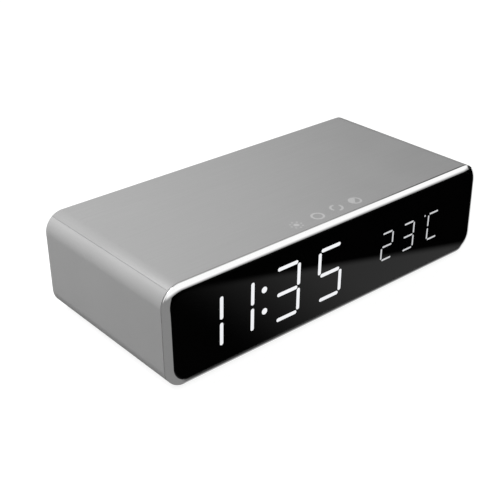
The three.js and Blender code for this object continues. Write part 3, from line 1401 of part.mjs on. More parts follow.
const display = new THREE.Group();
display.add(diffuserFilm(), digitReflector(), displayBoard(), sounder(), touchBoard(), touchFoam());

const charger = new THREE.Group();
charger.add(
  chargingCoil(),
  coilFerrite(),
  coilCarrier(),
  innerCoilLead(),
  outerCoilLead(),
  chargerBoard(),
  powerInlet(),
  powerInductor(),
  ...smoothingCapacitors(),
  ...resonanceCapacitors(),
  temperatureSensor(),
);

const backup = new THREE.Group();
backup.add(cellHolder(), coinCell(), negativeContact(), positiveContact(), batteryDoor());

const wiring = new THREE.Group();
wiring.add(displayCable(), touchCable(), cellCable());

clock.add(housing, display, charger, backup, wiring, ...fasteners());

export default clock;
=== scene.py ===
"""A digital table clock with a wireless charging pad under its top cover, in a plain pale studio."""

import math

import bmesh
import bpy
from mathutils import Euler, Matrix, Vector


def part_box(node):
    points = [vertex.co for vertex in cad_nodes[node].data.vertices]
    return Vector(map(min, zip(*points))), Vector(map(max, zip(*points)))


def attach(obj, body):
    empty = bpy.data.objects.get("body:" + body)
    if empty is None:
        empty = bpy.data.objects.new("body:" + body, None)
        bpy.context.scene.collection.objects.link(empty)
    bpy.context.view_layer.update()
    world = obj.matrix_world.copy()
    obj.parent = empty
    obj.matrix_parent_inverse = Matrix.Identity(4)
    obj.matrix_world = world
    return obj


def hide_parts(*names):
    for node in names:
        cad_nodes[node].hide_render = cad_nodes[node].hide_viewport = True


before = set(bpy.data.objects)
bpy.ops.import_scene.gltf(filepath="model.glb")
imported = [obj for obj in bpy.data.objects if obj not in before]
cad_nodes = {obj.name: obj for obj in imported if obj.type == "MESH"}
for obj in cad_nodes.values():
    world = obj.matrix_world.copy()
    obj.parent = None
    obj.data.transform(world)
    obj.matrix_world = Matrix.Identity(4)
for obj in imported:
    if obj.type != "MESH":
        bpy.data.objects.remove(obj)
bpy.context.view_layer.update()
MM = 0.001


# The camera looks down on the clock from the front and left, at the photograph's angle. It is
# placed by its direction from the clock's middle, its distance and its offset in the picture.


def linked(name, data):
    """A new object in the scene."""
    added = bpy.data.objects.new(name, data)
    bpy.context.scene.collection.objects.link(added)
    return added


CAMERA_AZIMUTH = math.radians(-40.004)
CAMERA_ELEVATION = math.radians(28.222)
CAMERA_ROLL = math.radians(-0.665)
CAMERA_DISTANCE = 483.9 * MM
CAMERA_AIM = Vector((0, 0.04, 2.53)) * MM
CAMERA_SIDEWAYS = -10.83 * MM
CAMERA_UPWARDS = 11.64 * MM
CAMERA_LENS_MM = 71.49
CAMERA_SENSOR_MM = 36
CAMERA_NEAREST = 10 * MM

back_x = math.sin(CAMERA_AZIMUTH) * math.cos(CAMERA_ELEVATION)
back_y = -math.cos(CAMERA_AZIMUTH) * math.cos(CAMERA_ELEVATION)
camera_back = Vector((back_x, back_y, math.sin(CAMERA_ELEVATION)))
level_right = (-camera_back).cross(Vector((0, 0, 1))).normalized()
level_up = level_right.cross(-camera_back)
camera_right = math.cos(CAMERA_ROLL) * level_right + math.sin(CAMERA_ROLL) * level_up
camera_up = math.cos(CAMERA_ROLL) * level_up - math.sin(CAMERA_ROLL) * level_right
camera_data = bpy.data.cameras.new("camera")
camera_data.lens = CAMERA_LENS_MM
camera_data.sensor_width = CAMERA_SENSOR_MM
camera_data.clip_start = CAMERA_NEAREST
camera = linked("camera", camera_data)
bpy.context.scene.camera = camera
camera_place = CAMERA_AIM + camera_back * CAMERA_DISTANCE + camera_right * CAMERA_SIDEWAYS
camera_place += camera_up * CAMERA_UPWARDS
camera_turn = Matrix((camera_right, camera_up, camera_back)).transposed().to_4x4()
camera.matrix_world = Matrix.Translation(camera_place) @ camera_turn


# The studio: a white surface and a white surround. Polished pieces mirror a dark room past the
# front edge of the board that the clock stands on, and a pale ceiling above it.


def node(tree, kind, inputs=None, **settings):
    """Adds a node. A value goes on its socket, and another node's output is joined to it."""
    added = tree.nodes.new(kind)
    for name, value in settings.items():
        setattr(added, name, value)
    for socket, value in (inputs or {}).items():
        if isinstance(value, bpy.types.NodeSocket):
            tree.links.new(value, added.inputs[socket])
        else:
            added.inputs[socket].default_value = value
    return added


def made(tree, kind, inputs=None, output=0, **settings):
    """Adds a node and gives back one of its outputs."""
    return node(tree, kind, inputs, **settings).outputs[output]


def calculate(tree, operation, *terms):
    """One sum on numbers, whose terms are numbers or outputs."""
    return made(tree, "ShaderNodeMath", dict(enumerate(terms)), operation=operation)


def times(tree, first, second):
    """The product of two numbers or outputs."""
    return calculate(tree, "MULTIPLY", first, second)


def on_vectors(tree, operation, *terms):
    """One sum on vectors. It gives a vector, or a number where that is what the sum is for."""
    result = "Value" if operation in ("DOT_PRODUCT", "LENGTH") else "Vector"
    return made(tree, "ShaderNodeVectorMath", dict(enumerate(terms)), result, operation=operation)


def apart(tree, vector):
    """A vector's X, Y and Z."""
    return node(tree, "ShaderNodeSeparateXYZ", {0: vector}).outputs


def place_in(tree):
    """The place of what is shaded, on its object."""
    return made(tree, "ShaderNodeTexCoord", output="Object")


def graded(tree, value, start, end, low, high, curve="SMOOTHSTEP"):
    """Goes from low to high as value goes from start to end."""
    spans = {"Value": value, "From Min": start, "From Max": end, "To Min": low, "To Max": high}
    return made(tree, "ShaderNodeMapRange", spans, interpolation_type=curve)


def blended(tree, factor, first, second):
    """Goes from the first number to the second as factor goes from 0 to 1."""
    return made(tree, "ShaderNodeMix", {0: factor, 2: first, 3: second})


def paint(code):
    """A colour written as in a paint program, as linear red, green, blue and a full alpha."""
    parts = [int(code[i : i + 2], 16) / 255 for i in (1, 3, 5)]
    linear = [p / 12.92 if p <= 0.04045 else ((p + 0.055) / 1.055) ** 2.4 for p in parts]
    return (*linear, 1.0)


def rays_in(tree):
    """The rays that look straight at a surface, also through clear pieces, and the mirrored ones."""
    ray = node(tree, "ShaderNodeLightPath").outputs
    looking = calculate(tree, "MAXIMUM", ray["Is Camera Ray"], ray["Is Transmission Ray"])
    return looking, ray["Is Glossy Ray"]


bpy.context.scene.view_settings.view_transform = "Standard"

SKY_LIGHT = (0.53, 0.82)  # at the horizon, and overhead
CEILING_HEIGHTS = (-0.02, 0.30)  # directions between which the mirrored ceiling grows light
CEILING_LIGHT = (0.25, 1.1)
BEHIND_Y = (-0.35, 0.35)  # directions between which it darkens towards the clock's back
BEHIND_X = (0.62, 0.72)  # and there, towards the right
BEHIND_LIGHT = (0.62, 0.02)  # parts of its light that are left, at the back and at its right
DARK_CORNER = Vector((0.97, -0.15, 0.03)).normalized()
DARK_CORNER_EDGE = (0.96, 0.98)  # cosines of the angles between which it darkens
DARK_CORNER_LIGHT = 0.12

world = bpy.data.worlds.new("studio")
bpy.context.scene.world = world
world.use_nodes = True
sky = world.node_tree
sky.nodes.clear()
sky_looking, sky_glossy = rays_in(sky)
sky_direction = made(sky, "ShaderNodeTexCoord", output="Generated")
sky_parts = apart(sky, sky_direction)
sky_light = graded(sky, sky_parts["Z"], 0, 1, *SKY_LIGHT)
ceiling = graded(sky, sky_parts["Z"], *CEILING_HEIGHTS, *CEILING_LIGHT)
towards_corner = on_vectors(sky, "DOT_PRODUCT", sky_direction, DARK_CORNER)
corner_light = graded(sky, towards_corner, *DARK_CORNER_EDGE, 1.0, DARK_CORNER_LIGHT)
ceiling = times(sky, ceiling, corner_light)
light_behind = graded(sky, sky_parts["X"], *BEHIND_X, *BEHIND_LIGHT)
light_behind = graded(sky, sky_parts["Y"], *BEHIND_Y, 1.0, light_behind)
ceiling = times(sky, ceiling, light_behind)
sky_unseen = blended(sky, sky_glossy, sky_light, ceiling)
sky_strength = blended(sky, sky_looking, sky_unseen, 1.0)
sky_shader = made(sky, "ShaderNodeBackground", {"Color": paint("#FFFFFF"), "Strength": sky_strength})
node(sky, "ShaderNodeOutputWorld", {"Surface": sky_shader})

FLOOR_HALF = 4.0
FLOOR_ALBEDO = 0.30
FLOOR_GLOW = 0.86
DARK_ROOM = 0.004  # light that polished pieces mirror, like the other mirrored values
BOARD_MIRRORED = 0.40
BOARD_X = (-55 * MM, 35 * MM)  # where the board grows light
BOARD_EDGE = (Vector((-10.9, -96.8)) * MM, Vector((96.4, -51.5)) * MM)  # two points on it
BOARD_EDGE_BLUR = 4 * MM
STRIP_MIRRORED = (0.2, 0.05)  # the strip in front of the clock, at its left corner and past it
STRIP_X = (-90 * MM, -76 * MM)
STRIP_Y = (-49.5 * MM, -47.5 * MM)
NEAR_MIRRORED = 0.85  # close by the clock, and past its right side
NEAR_X = (90 * MM, 100 * MM)
NEAR_EDGE_Y = (-46 * MM, -52 * MM)  # at the clock's front, and past its right side
NEAR_EDGE_BLUR = 5 * MM
LEFT_MIRRORED = 0.25
LEFT_X = (-84 * MM, -87 * MM)  # where the room past the clock's left side begins

floor_mesh = bpy.data.meshes.new("floor")
floor_corners = [(x * FLOOR_HALF, y * FLOOR_HALF, 0) for x, y in ((-1, -1), (1, -1), (1, 1), (-1, 1))]
floor_mesh.from_pydata(floor_corners, [], [(0, 1, 2, 3)])
floor = linked("floor", floor_mesh)
floor_material = bpy.data.materials.new("studio_floor")
floor_mesh.materials.append(floor_material)
floor_material.use_nodes = True
ground = floor_material.node_tree
ground.nodes.clear()
ground_place = place_in(ground)
ground_parts = apart(ground, ground_place)
ground_x, ground_y = ground_parts["X"], ground_parts["Y"]
edge_along = (BOARD_EDGE[1] - BOARD_EDGE[0]).normalized()
edge_across = Vector((-edge_along.y, edge_along.x, 0))
edge_level = edge_across.to_2d().dot(BOARD_EDGE[0])
past_edge = on_vectors(ground, "DOT_PRODUCT", ground_place, edge_across)
edge_blur = (edge_level - BOARD_EDGE_BLUR, edge_level + BOARD_EDGE_BLUR)
on_board = graded(ground, past_edge, *edge_blur, 0.0, 1.0)
board_light = graded(ground, ground_x, *BOARD_X, DARK_ROOM, BOARD_MIRRORED)
board_light = times(ground, board_light, on_board)
on_strip = graded(ground, ground_y, *STRIP_Y, 0.0, 1.0)
strip_light = graded(ground, ground_x, *STRIP_X, *STRIP_MIRRORED)
front_light = blended(ground, on_strip, board_light, strip_light)
near_edge = graded(ground, ground_x, *NEAR_X, *NEAR_EDGE_Y)
past_near_edge = calculate(ground, "SUBTRACT", ground_y, near_edge)
near_light = graded(ground, past_near_edge, 0, NEAR_EDGE_BLUR, 0.0, NEAR_MIRRORED)
front_light = calculate(ground, "MAXIMUM", front_light, near_light)
past_left = graded(ground, ground_x, *LEFT_X, 0.0, 1.0)
ground_mirrored = blended(ground, past_left, front_light, LEFT_MIRRORED)
albedo = (FLOOR_ALBEDO, FLOOR_ALBEDO, FLOOR_ALBEDO, 1)
ground_matt = made(ground, "ShaderNodeBsdfDiffuse", {"Color": albedo})
ground_glow = made(ground, "ShaderNodeEmission", {"Strength": FLOOR_GLOW})
ground_seen = made(ground, "ShaderNodeAddShader", {0: ground_matt, 1: ground_glow})
ground_reflected = made(ground, "ShaderNodeEmission", {"Strength": ground_mirrored})
ground_looking, ground_glossy = rays_in(ground)
unseen_parts = {0: ground_glossy, 1: ground_matt, 2: ground_reflected}
ground_unseen = made(ground, "ShaderNodeMixShader", unseen_parts)
all_parts = {0: ground_looking, 1: ground_unseen, 2: ground_seen}
ground_surface = made(ground, "ShaderNodeMixShader", all_parts)
node(ground, "ShaderNodeOutputMaterial", {"Surface": ground_surface})

KEY_PLACE = Vector((-0.20, 0.08, 0.30))
KEY_SIZE = 0.16
KEY_WATTS = 0.61

key_data = bpy.data.lights.new("key", "AREA")
key_data.shape = "SQUARE"
key_data.size = KEY_SIZE
key_data.energy = KEY_WATTS
key = linked("key", key_data)
key.location = KEY_PLACE
key.rotation_euler = (-KEY_PLACE).to_track_quat("-Z", "Y").to_euler()


# The lower case: a moulded tray of grey plastic with both sides and the floor in one. Its edges
# are eased, and inside stand the pillars, standoffs and the walls of the battery bay.

SLOW_DRIFT = 38.0  # drifts per metre
DRIFTING = (0.3, 0.7)  # the span of a noise that counts


def add_sockets(tree, side, **kinds):
    """Adds the named sockets of each kind on a tree's "INPUT" or "OUTPUT" side."""
    for kind, names in kinds.items():
        for name in names:
            tree.interface.new_socket(name=name, in_out=side, socket_type="NodeSocket" + kind)


def scaled(tree, colour, shade):
    """A colour, lighter or darker by a factor."""
    return made(tree, "ShaderNodeVectorMath", {0: colour, "Scale": shade}, operation="SCALE")


def grain_group():
    """A moulded surface's fine grain, with slow drifts of shade and sheen."""
    tree = bpy.data.node_groups.new("moulded_grain", "ShaderNodeTree")
    numbers = ["Grain Size", "Shade Drift", "Roughness", "Roughness Drift"]
    add_sockets(tree, "INPUT", Color=["Colour"], Float=numbers)
    add_sockets(tree, "OUTPUT", Color=["Colour"], Float=["Roughness", "Height"])
    given = node(tree, "NodeGroupInput").outputs
    place = place_in(tree)
    fineness = calculate(tree, "DIVIDE", 1.0, given["Grain Size"])
    fine = made(tree, "ShaderNodeTexNoise", {"Vector": place, "Scale": fineness, "Detail": 3.0})
    slow = made(tree, "ShaderNodeTexNoise", {"Vector": place, "Scale": SLOW_DRIFT, "Detail": 2.0})
    mottle = calculate(tree, "MULTIPLY_ADD", fine, 0.5, times(tree, slow, 0.5))

    def drifting(noise, middle, drift):
        low = calculate(tree, "SUBTRACT", middle, drift)
        high = calculate(tree, "ADD", middle, drift)
        return graded(tree, noise, *DRIFTING, low, high, "LINEAR")

    colour = scaled(tree, given["Colour"], drifting(mottle, 1.0, given["Shade Drift"]))
    roughness = drifting(slow, given["Roughness"], given["Roughness Drift"])
    node(tree, "NodeGroupOutput", {"Colour": colour, "Roughness": roughness, "Height": fine})
    return tree


moulded_grain = grain_group()


def surfaced(name, code, roughness, grain, drift, sheen_drift=0.05, **plain):
    """A material whose roughness drifts, with plain numbers on its shader. It is given back with
    its tree and shader, and with the grain's colour and height, which aren't joined yet."""
    material = bpy.data.materials.new(name)
    material.use_nodes = True
    tree = material.node_tree
    tree.nodes.clear()
    sockets = {socket.replace("_", " ").title().replace("Ior", "IOR"): v for socket, v in plain.items()}
    shader = node(tree, "ShaderNodeBsdfPrincipled", sockets)
    node(tree, "ShaderNodeOutputMaterial", {"Surface": shader.outputs[0]})
    sizes = {
        "Colour": paint(code),
        "Grain Size": grain,
        "Shade Drift": drift,
        "Roughness": roughness,
        "Roughness Drift": sheen_drift,
    }
    surface = node(tree, "ShaderNodeGroup", sizes, node_tree=moulded_grain).outputs
    tree.links.new(surface["Roughness"], shader.inputs["Roughness"])
    return material, tree, shader, surface["Colour"], surface["Height"]


def dressed(tree, shader, colour, height, depth):
    """Joins a colour to the shader, and a height as its relief unless that has no depth."""
    tree.links.new(colour, shader.inputs["Base Color"])
    if depth:
        relief = made(tree, "ShaderNodeBump", {"Height": height, "Distance": depth})
        tree.links.new(relief, shader.inputs["Normal"])


def moulded(name, code, roughness, grain, depth=0.02 * MM, drift=0.04, sheen_drift=0.06, **plain):
    """Plastic, rubber or metal in one colour."""
    material, *parts = surfaced(name, code, roughness, grain, drift, sheen_drift, **plain)
    dressed(*parts, depth)
    return material


MERGE = 0.002 * MM
FLAT = math.radians(0.4)
SHARP = math.radians(32)


def belongs(piece, slot, *replaced, body="case"):
    """Gives the piece its body, and hides the CAD nodes that it stands for. The slot is not used."""
    if replaced:
        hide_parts(*replaced)
    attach(piece, body)
    return piece


def eased(piece, width, segments=2):
    """Adds a modifier that rounds off the piece's sharp edges."""
    easing = piece.modifiers.new("eased_edges", "BEVEL")
    easing.width = width
    easing.segments = segments
    easing.limit_method = "ANGLE"
    easing.angle_limit = SHARP
    return easing


def finished(cad_name, material, slot, edge, body="case", segments=2):
    """The CAD node's form as one closed skin with eased edges, which stands for the node."""
    mesh = cad_nodes[cad_name].data.copy()
    mesh.name = cad_name + "_finished"
    skin = bmesh.new()
    skin.from_mesh(mesh)
    bmesh.ops.remove_doubles(skin, verts=skin.verts, dist=MERGE)
    bmesh.ops.dissolve_limit(skin, angle_limit=FLAT, verts=skin.verts, edges=skin.edges)
    many_sided = [face for face in skin.faces if len(face.verts) > 4]
    bmesh.ops.triangulate(skin, faces=many_sided)
    for face in skin.faces:
        face.smooth = True
    skin.to_mesh(mesh)
    skin.free()
    mesh.materials.clear()
    mesh.materials.append(material)
    for attribute in ("sharp_edge", "custom_normal"):
        if attribute in mesh.attributes:
            mesh.attributes.remove(mesh.attributes[attribute])
    piece = linked(cad_name + "_finished", mesh)
    easing = eased(piece, edge, segments)
    easing.use_clamp_overlap = False
    easing.miter_outer = "MITER_ARC"
    flats = piece.modifiers.new("flat_faces_shade_flat", "WEIGHTED_NORMAL")
    flats.keep_sharp = False
    return belongs(piece, slot, cad_name, body=body)


CORNER_RADIUS = 9.3 * MM
RIM_ANGLE = math.radians(51.8)  # where the tray's rims end on the rounded shoulders
RIM_ANGLE_BAND = math.radians(0.3)
SEAM_CLOSED_BY = math.radians(2.1)

case_plastic = moulded("case_grey_plastic", "#ABABAB", roughness=0.46, grain=0.25 * MM)
lower_case = finished("lower_case", case_plastic, "case_plastic", edge=0.07 * MM)
shoulder_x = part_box("lower_case")[1].x - CORNER_RADIUS
shoulder_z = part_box("top_cover")[1].z - CORNER_RADIUS
for corner in lower_case.data.vertices:
    side = math.copysign(1, corner.co.x)
    arm = Vector((abs(corner.co.x) - shoulder_x, corner.co.z - shoulder_z))
    angle = math.atan2(arm.y, arm.x)
    if arm.x > 0 and abs(angle - RIM_ANGLE) < RIM_ANGLE_BAND:
        corner.co.x = side * (shoulder_x + arm.length * math.cos(angle + SEAM_CLOSED_BY))
        corner.co.z = shoulder_z + arm.length * math.sin(angle + SEAM_CLOSED_BY)


# Four rubber feet, pressed into round recesses in the case's underside. Each is a disc with a
# rounded rim and a shallow dished face.


def skinned(name, rings, material, closed=False, capped=False, sharp=None):
    """A piece whose faces join each ring of places to the next. A closed one also joins the last
    to the first, and a capped one fills both. Its edges are sharp from the given angle on."""
    shape = bmesh.new()
    rings = [[shape.verts.new(place) for place in ring] for ring in rings]
    count = max(len(ring) for ring in rings)
    for lower, upper in zip(rings, rings[1:] + (rings[:1] if closed else [])):
        for i in range(count):
            j = (i + 1) % count
            patch = [ring[k % len(ring)] for ring, k in ((lower, i), (lower, j), (upper, j), (upper, i))]
            distinct = list(dict.fromkeys(patch))
            if len(distinct) > 2:
                shape.faces.new(distinct).smooth = True
    for ring in (rings[0], rings[-1]) if capped else ():
        shape.faces.new(ring)
    bmesh.ops.recalc_face_normals(shape, faces=shape.faces)
    for edge in shape.edges if sharp else ():
        edge.smooth = edge.calc_face_angle() < sharp
    mesh = bpy.data.meshes.new(name)
    shape.to_mesh(mesh)
    shape.free()
    mesh.materials.append(material)
    return linked(name, mesh)


EASING_STEPS = 4


def rounded_profile(corners, easing):
    """The corners of a turned profile with each one but the first and last rounded off."""
    points = [corners[0]]
    for neighbours in zip(corners, corners[1:], corners[2:]):
        before, corner, after = (Vector(point) for point in neighbours)
        into = corner + (before - corner).normalized() * easing
        out_of = corner + (after - corner).normalized() * easing
        for step in range(EASING_STEPS + 1):
            t = step / EASING_STEPS
            points.append(tuple(into * (1 - t) ** 2 + corner * 2 * t * (1 - t) + out_of * t**2))
    return [*points, corners[-1]]


def lathe(name, corners, easing, centre, material, steps=48, turn=0.0):
    """A closed turned form from [radius, height] corners that start and end on the axis. Its axis
    is upright, or turned about X."""
    rings = []
    for radius, height in rounded_profile(corners, easing) if easing else corners:
        angles = [2 * math.pi * i / steps for i in range(steps if radius else 1)]
        rings.append([(radius * math.cos(angle), radius * math.sin(angle), height) for angle in angles])
    piece = skinned(name, rings, material)
    piece.data.transform(Matrix.Translation(centre) @ Matrix.Rotation(turn, 4, "X"))
    return piece


def measured(cad_name):
    """An upright round node's foot, radius and height."""
    low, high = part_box(cad_name)
    foot = Vector(((low.x + high.x) / 2, (low.y + high.y) / 2, low.z))
    return foot, (high.x - low.x) / 2, high.z - low.z


FOOT_EASING = 0.45 * MM
FOOT_DISH = 0.25 * MM
FOOT_LAND = 1.6 * MM
FOOT_SLOPE = 0.96 * MM  # from the land into the dish

foot_rubber = moulded("foot_rubber", "#232324", roughness=0.85, grain=0.18 * MM, drift=0.12)
for number in range(1, 5):
    place, radius, height = measured(f"foot_{number}")
    corners = [
        (0, FOOT_DISH),
        (radius - FOOT_LAND - FOOT_SLOPE, FOOT_DISH),
        (radius - FOOT_LAND, 0),
        (radius, 0),
        (radius, height),
        (0, height),
    ]
    foot = lathe(f"rubber_foot_{number}", corners, FOOT_EASING, place, foot_rubber)
    belongs(foot, "rubber", f"foot_{number}")


# The front bezel: a chromed plastic frame whose rim rolls over from the case's outline to the
# lens. It is swept round the case's rounded rectangle.

CORNER_STEPS = 24


def sweep_round_case(name, profile, outline, material, closed=True):
    """Sweeps [inset, y, corner radius] points round the case's outline. An open profile's ends
    are capped."""
    low, high = outline
    centre_x, centre_z = (low.x + high.x) / 2, (low.z + high.z) / 2
    half_x, half_z = (high.x - low.x) / 2, (high.z - low.z) / 2
    rings = [[] for _ in profile]
    for corner, (side_x, side_z) in enumerate(((1, 1), (-1, 1), (-1, -1), (1, -1))):
        for step in range(CORNER_STEPS + 1):
            turn = (corner + step / CORNER_STEPS) * math.pi / 2
            for ring, (inset, y, radius) in zip(rings, profile):
                x = centre_x + side_x * (half_x - inset - radius) + radius * math.cos(turn)
                z = centre_z + side_z * (half_z - inset - radius) + radius * math.sin(turn)
                ring.append((x, y, z))
    return skinned(name, rings, material, closed, capped=not closed, sharp=SHARP)


BEZEL_PROUD = 2.3 * MM
RIM_LAND = 0.6 * MM
RIM_CROWN = 0.2 * MM
RIM_EASING = 0.3 * MM
RIM_BACK_EASING = 0.15 * MM
RIM_BACK_MIDDLE = 0.3 * RIM_BACK_EASING  # half way round that easing
RIM_OVER_LENS = 0.05 * MM
RIM_STEPS = 12
LENS_SEAT = 2.96 * MM
SEAT_DEPTH = 1.7 * MM
FRONT_CORNER_LOSS = 0.55  # of the inset, off the case's corner radius
OPENING = 3.8 * MM
SPIGOT_OUTER = 2.6 * MM
SPIGOT_REACH = 4.6 * MM
RABBET = 1.1 * MM
RABBET_REACH = 3.9 * MM

bezel_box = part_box("front_bezel")
bezel_low, bezel_high = bezel_box
bezel_front = bezel_low.y
rim_back = bezel_front + BEZEL_PROUD
land_front = rim_back - RIM_LAND
rim_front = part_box("display_lens")[0].y - RIM_OVER_LENS
slope = Vector((LENS_SEAT, rim_front - land_front))
slope_out = Vector((slope.y, -slope.x)).normalized()
rim = [(RIM_BACK_EASING, rim_back), (RIM_BACK_MIDDLE, rim_back - RIM_BACK_MIDDLE)]
land_end = Vector((0, land_front + RIM_EASING))
slope_start = Vector((0, land_front)) + slope.normalized() * RIM_EASING
for step in range(RIM_STEPS // 2):
    t = step / (RIM_STEPS // 2)
    corner = Vector((0, land_front)) * 2 * t * (1 - t)
    rim.append(tuple(land_end * (1 - t) ** 2 + corner + slope_start * t**2))
for step in range(RIM_STEPS + 1):
    along = step / RIM_STEPS
    bow = slope_out * 4 * RIM_CROWN * along * (1 - along)
    rim.append(tuple(slope_start.lerp(Vector((LENS_SEAT, rim_front)), along) + bow))
behind_lens = [
    (LENS_SEAT, bezel_front + SEAT_DEPTH),
    (OPENING, bezel_front + SEAT_DEPTH),
    (OPENING, bezel_front + SPIGOT_REACH),
    (SPIGOT_OUTER, bezel_front + SPIGOT_REACH),
    (SPIGOT_OUTER, bezel_front + RABBET_REACH),
    (RABBET, bezel_front + RABBET_REACH),
    (RABBET, rim_back),
]


def front_corner(inset):
    """The radius of a corner in front, at an inset from the case's outline."""
    return CORNER_RADIUS - FRONT_CORNER_LOSS * inset


bezel_profile = [(inset, y, front_corner(inset)) for inset, y in rim]
bezel_profile += [(inset, y, CORNER_RADIUS - inset) for inset, y in behind_lens]
mirror_look = {"roughness": 0.07, "grain": 1.5 * MM, "depth": 0, "drift": 0.015, "sheen_drift": 0.02}
chrome = moulded("bezel_chrome", "#F2F2F2", **mirror_look, metallic=1.0)
bezel = sweep_round_case("chromed_bezel", bezel_profile, bezel_box, chrome)
belongs(bezel, "bezel_chrome", "front_bezel")


# The display lens: a flat pane of smoked, mirror-smooth acrylic with a polished round edge,
# dropped into the bezel's seat.

LENS_EASING = Vector((0.8, 0.12)) * MM  # the rounded edge, across and deep
LENS_EASING_STEPS = 8

lens_low, lens_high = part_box("display_lens")
lens_inset = lens_low.x - bezel_low.x
lens_profile = []
for step in range(LENS_EASING_STEPS + 1):
    turn = step / LENS_EASING_STEPS * math.pi / 2
    inset = lens_inset + LENS_EASING.x * (1 - math.sin(turn))
    y = lens_low.y + LENS_EASING.y * (1 - math.cos(turn))
    lens_profile.append((inset, y, front_corner(inset)))
lens_profile.append((lens_inset, lens_high.y, front_corner(lens_inset)))
pane_look = {"roughness": 0.03, "grain": 6 * MM, "depth": 0, "drift": 0.1, "sheen_drift": 0.01}
smoked = moulded("smoked_acrylic", "#040404", **pane_look, ior=1.49)
lens = sweep_round_case("smoked_lens", lens_profile, bezel_box, smoked, closed=False)
belongs(lens, "lens_black", "display_lens")


# The lit figures: each stroke is the light of one well in the reflector, spread by the film and
# seen through the lens. One rule draws every seven-stroke figure, and sets which strokes are lit.


def socketed_tree(name, **kinds):
    """A geometry node tree with the named inputs of each kind, besides points and a material."""
    tree = bpy.data.node_groups.new(name, "GeometryNodeTree")
    tree.is_modifier = True
    add_sockets(tree, "INPUT", Geometry=["Geometry"], **kinds, Material=["Material"])
    add_sockets(tree, "OUTPUT", Geometry=["Geometry"])
    return tree, node(tree, "NodeGroupInput").outputs


def grown(name, tree, sizes, points=(), edges=()):
    """Runs a geometry node tree over some points and keeps the result as a plain mesh."""
    seed = bpy.data.meshes.new(name + "_points")
    seed.from_pydata([tuple(p) for p in points], edges, [])
    piece = linked(name, seed)
    modifier = piece.modifiers.new(name, "NODES")
    modifier.node_group = tree
    for item in tree.interface.items_tree:
        if item.in_out == "INPUT" and item.name in sizes:
            modifier[item.identifier] = sizes[item.name]
    evaluated = piece.evaluated_get(bpy.context.evaluated_depsgraph_get())
    mesh = bpy.data.meshes.new_from_object(evaluated)
    piece.modifiers.remove(modifier)
    piece.data = mesh
    return piece


def form(tree, kind, inputs=None, output=0, **settings):
    """Adds a geometry node and gives back one of its outputs."""
    return made(tree, "GeometryNode" + kind, inputs, output, **settings)


def finish_tree(tree, given, geometry):
    """Ends a tree: real meshes in place of instances, in the given material."""
    real = form(tree, "RealizeInstances", {"Geometry": geometry})
    coloured = form(tree, "SetMaterial", {"Geometry": real, "Material": given["Material"]})
    node(tree, "NodeGroupOutput", {"Geometry": coloured})
    return tree


def halved(tree, value):
    return times(tree, value, 0.5)


def combined(tree, x=0.0, y=0.0, z=0.0):
    """A vector from its three numbers."""
    return made(tree, "ShaderNodeCombineXYZ", {0: x, 1: y, 2: z})


def circle(tree, radius, resolution):
    return form(tree, "CurvePrimitiveCircle", {"Resolution": resolution, "Radius": radius})


def filled(tree, curve):
    return form(tree, "FillCurve", {"Curve": curve})


def bent(tree, curve, radius):
    """A curve with its corners rounded off."""
    values = {"Curve": curve, "Radius": radius, "Limit Radius": True, "Count": 8}
    return form(tree, "FilletCurve", values, mode="POLY")


def moved(tree, geometry, place=(0, 0, 0), turn=(0, 0, 0)):
    """The geometry, turned and then moved."""
    values = {"Geometry": geometry, "Translation": place, "Rotation": turn}
    return form(tree, "Transform", values)


def at_points(tree, points, instance, **more):
    """One instance at each point."""
    return form(tree, "InstanceOnPoints", {"Points": points, "Instance": instance, **more})


def set_out(tree, given, instance, **more):
    """Ends a tree: one instance at each of the given points."""
    return finish_tree(tree, given, at_points(tree, given["Geometry"], instance, **more))


def joined(tree, parts, kind="JoinGeometry"):
    """The parts in one geometry, in the given order."""
    union = node(tree, "GeometryNode" + kind)
    for part in reversed(parts):
        tree.links.new(part, union.inputs[0])
    return union.outputs[0]


STROKES = {
    "top": (0, 1, False),
    "middle": (0, 0, False),
    "bottom": (0, -1, False),
    "upper_left": (-1, 0.5, True),
    "upper_right": (1, 0.5, True),
    "lower_left": (-1, -0.5, True),
    "lower_right": (1, -0.5, True),
}
LIT = {
    "1": ("upper_right", "lower_right"),
    "2": ("top", "upper_right", "middle", "lower_left", "bottom"),
    "3": ("top", "upper_right", "middle", "lower_right", "bottom"),
    "5": ("top", "upper_left", "middle", "lower_right", "bottom"),
    "C": ("top", "upper_left", "lower_left", "bottom"),
}
UPRIGHT = Euler((math.pi / 2, 0, 0))


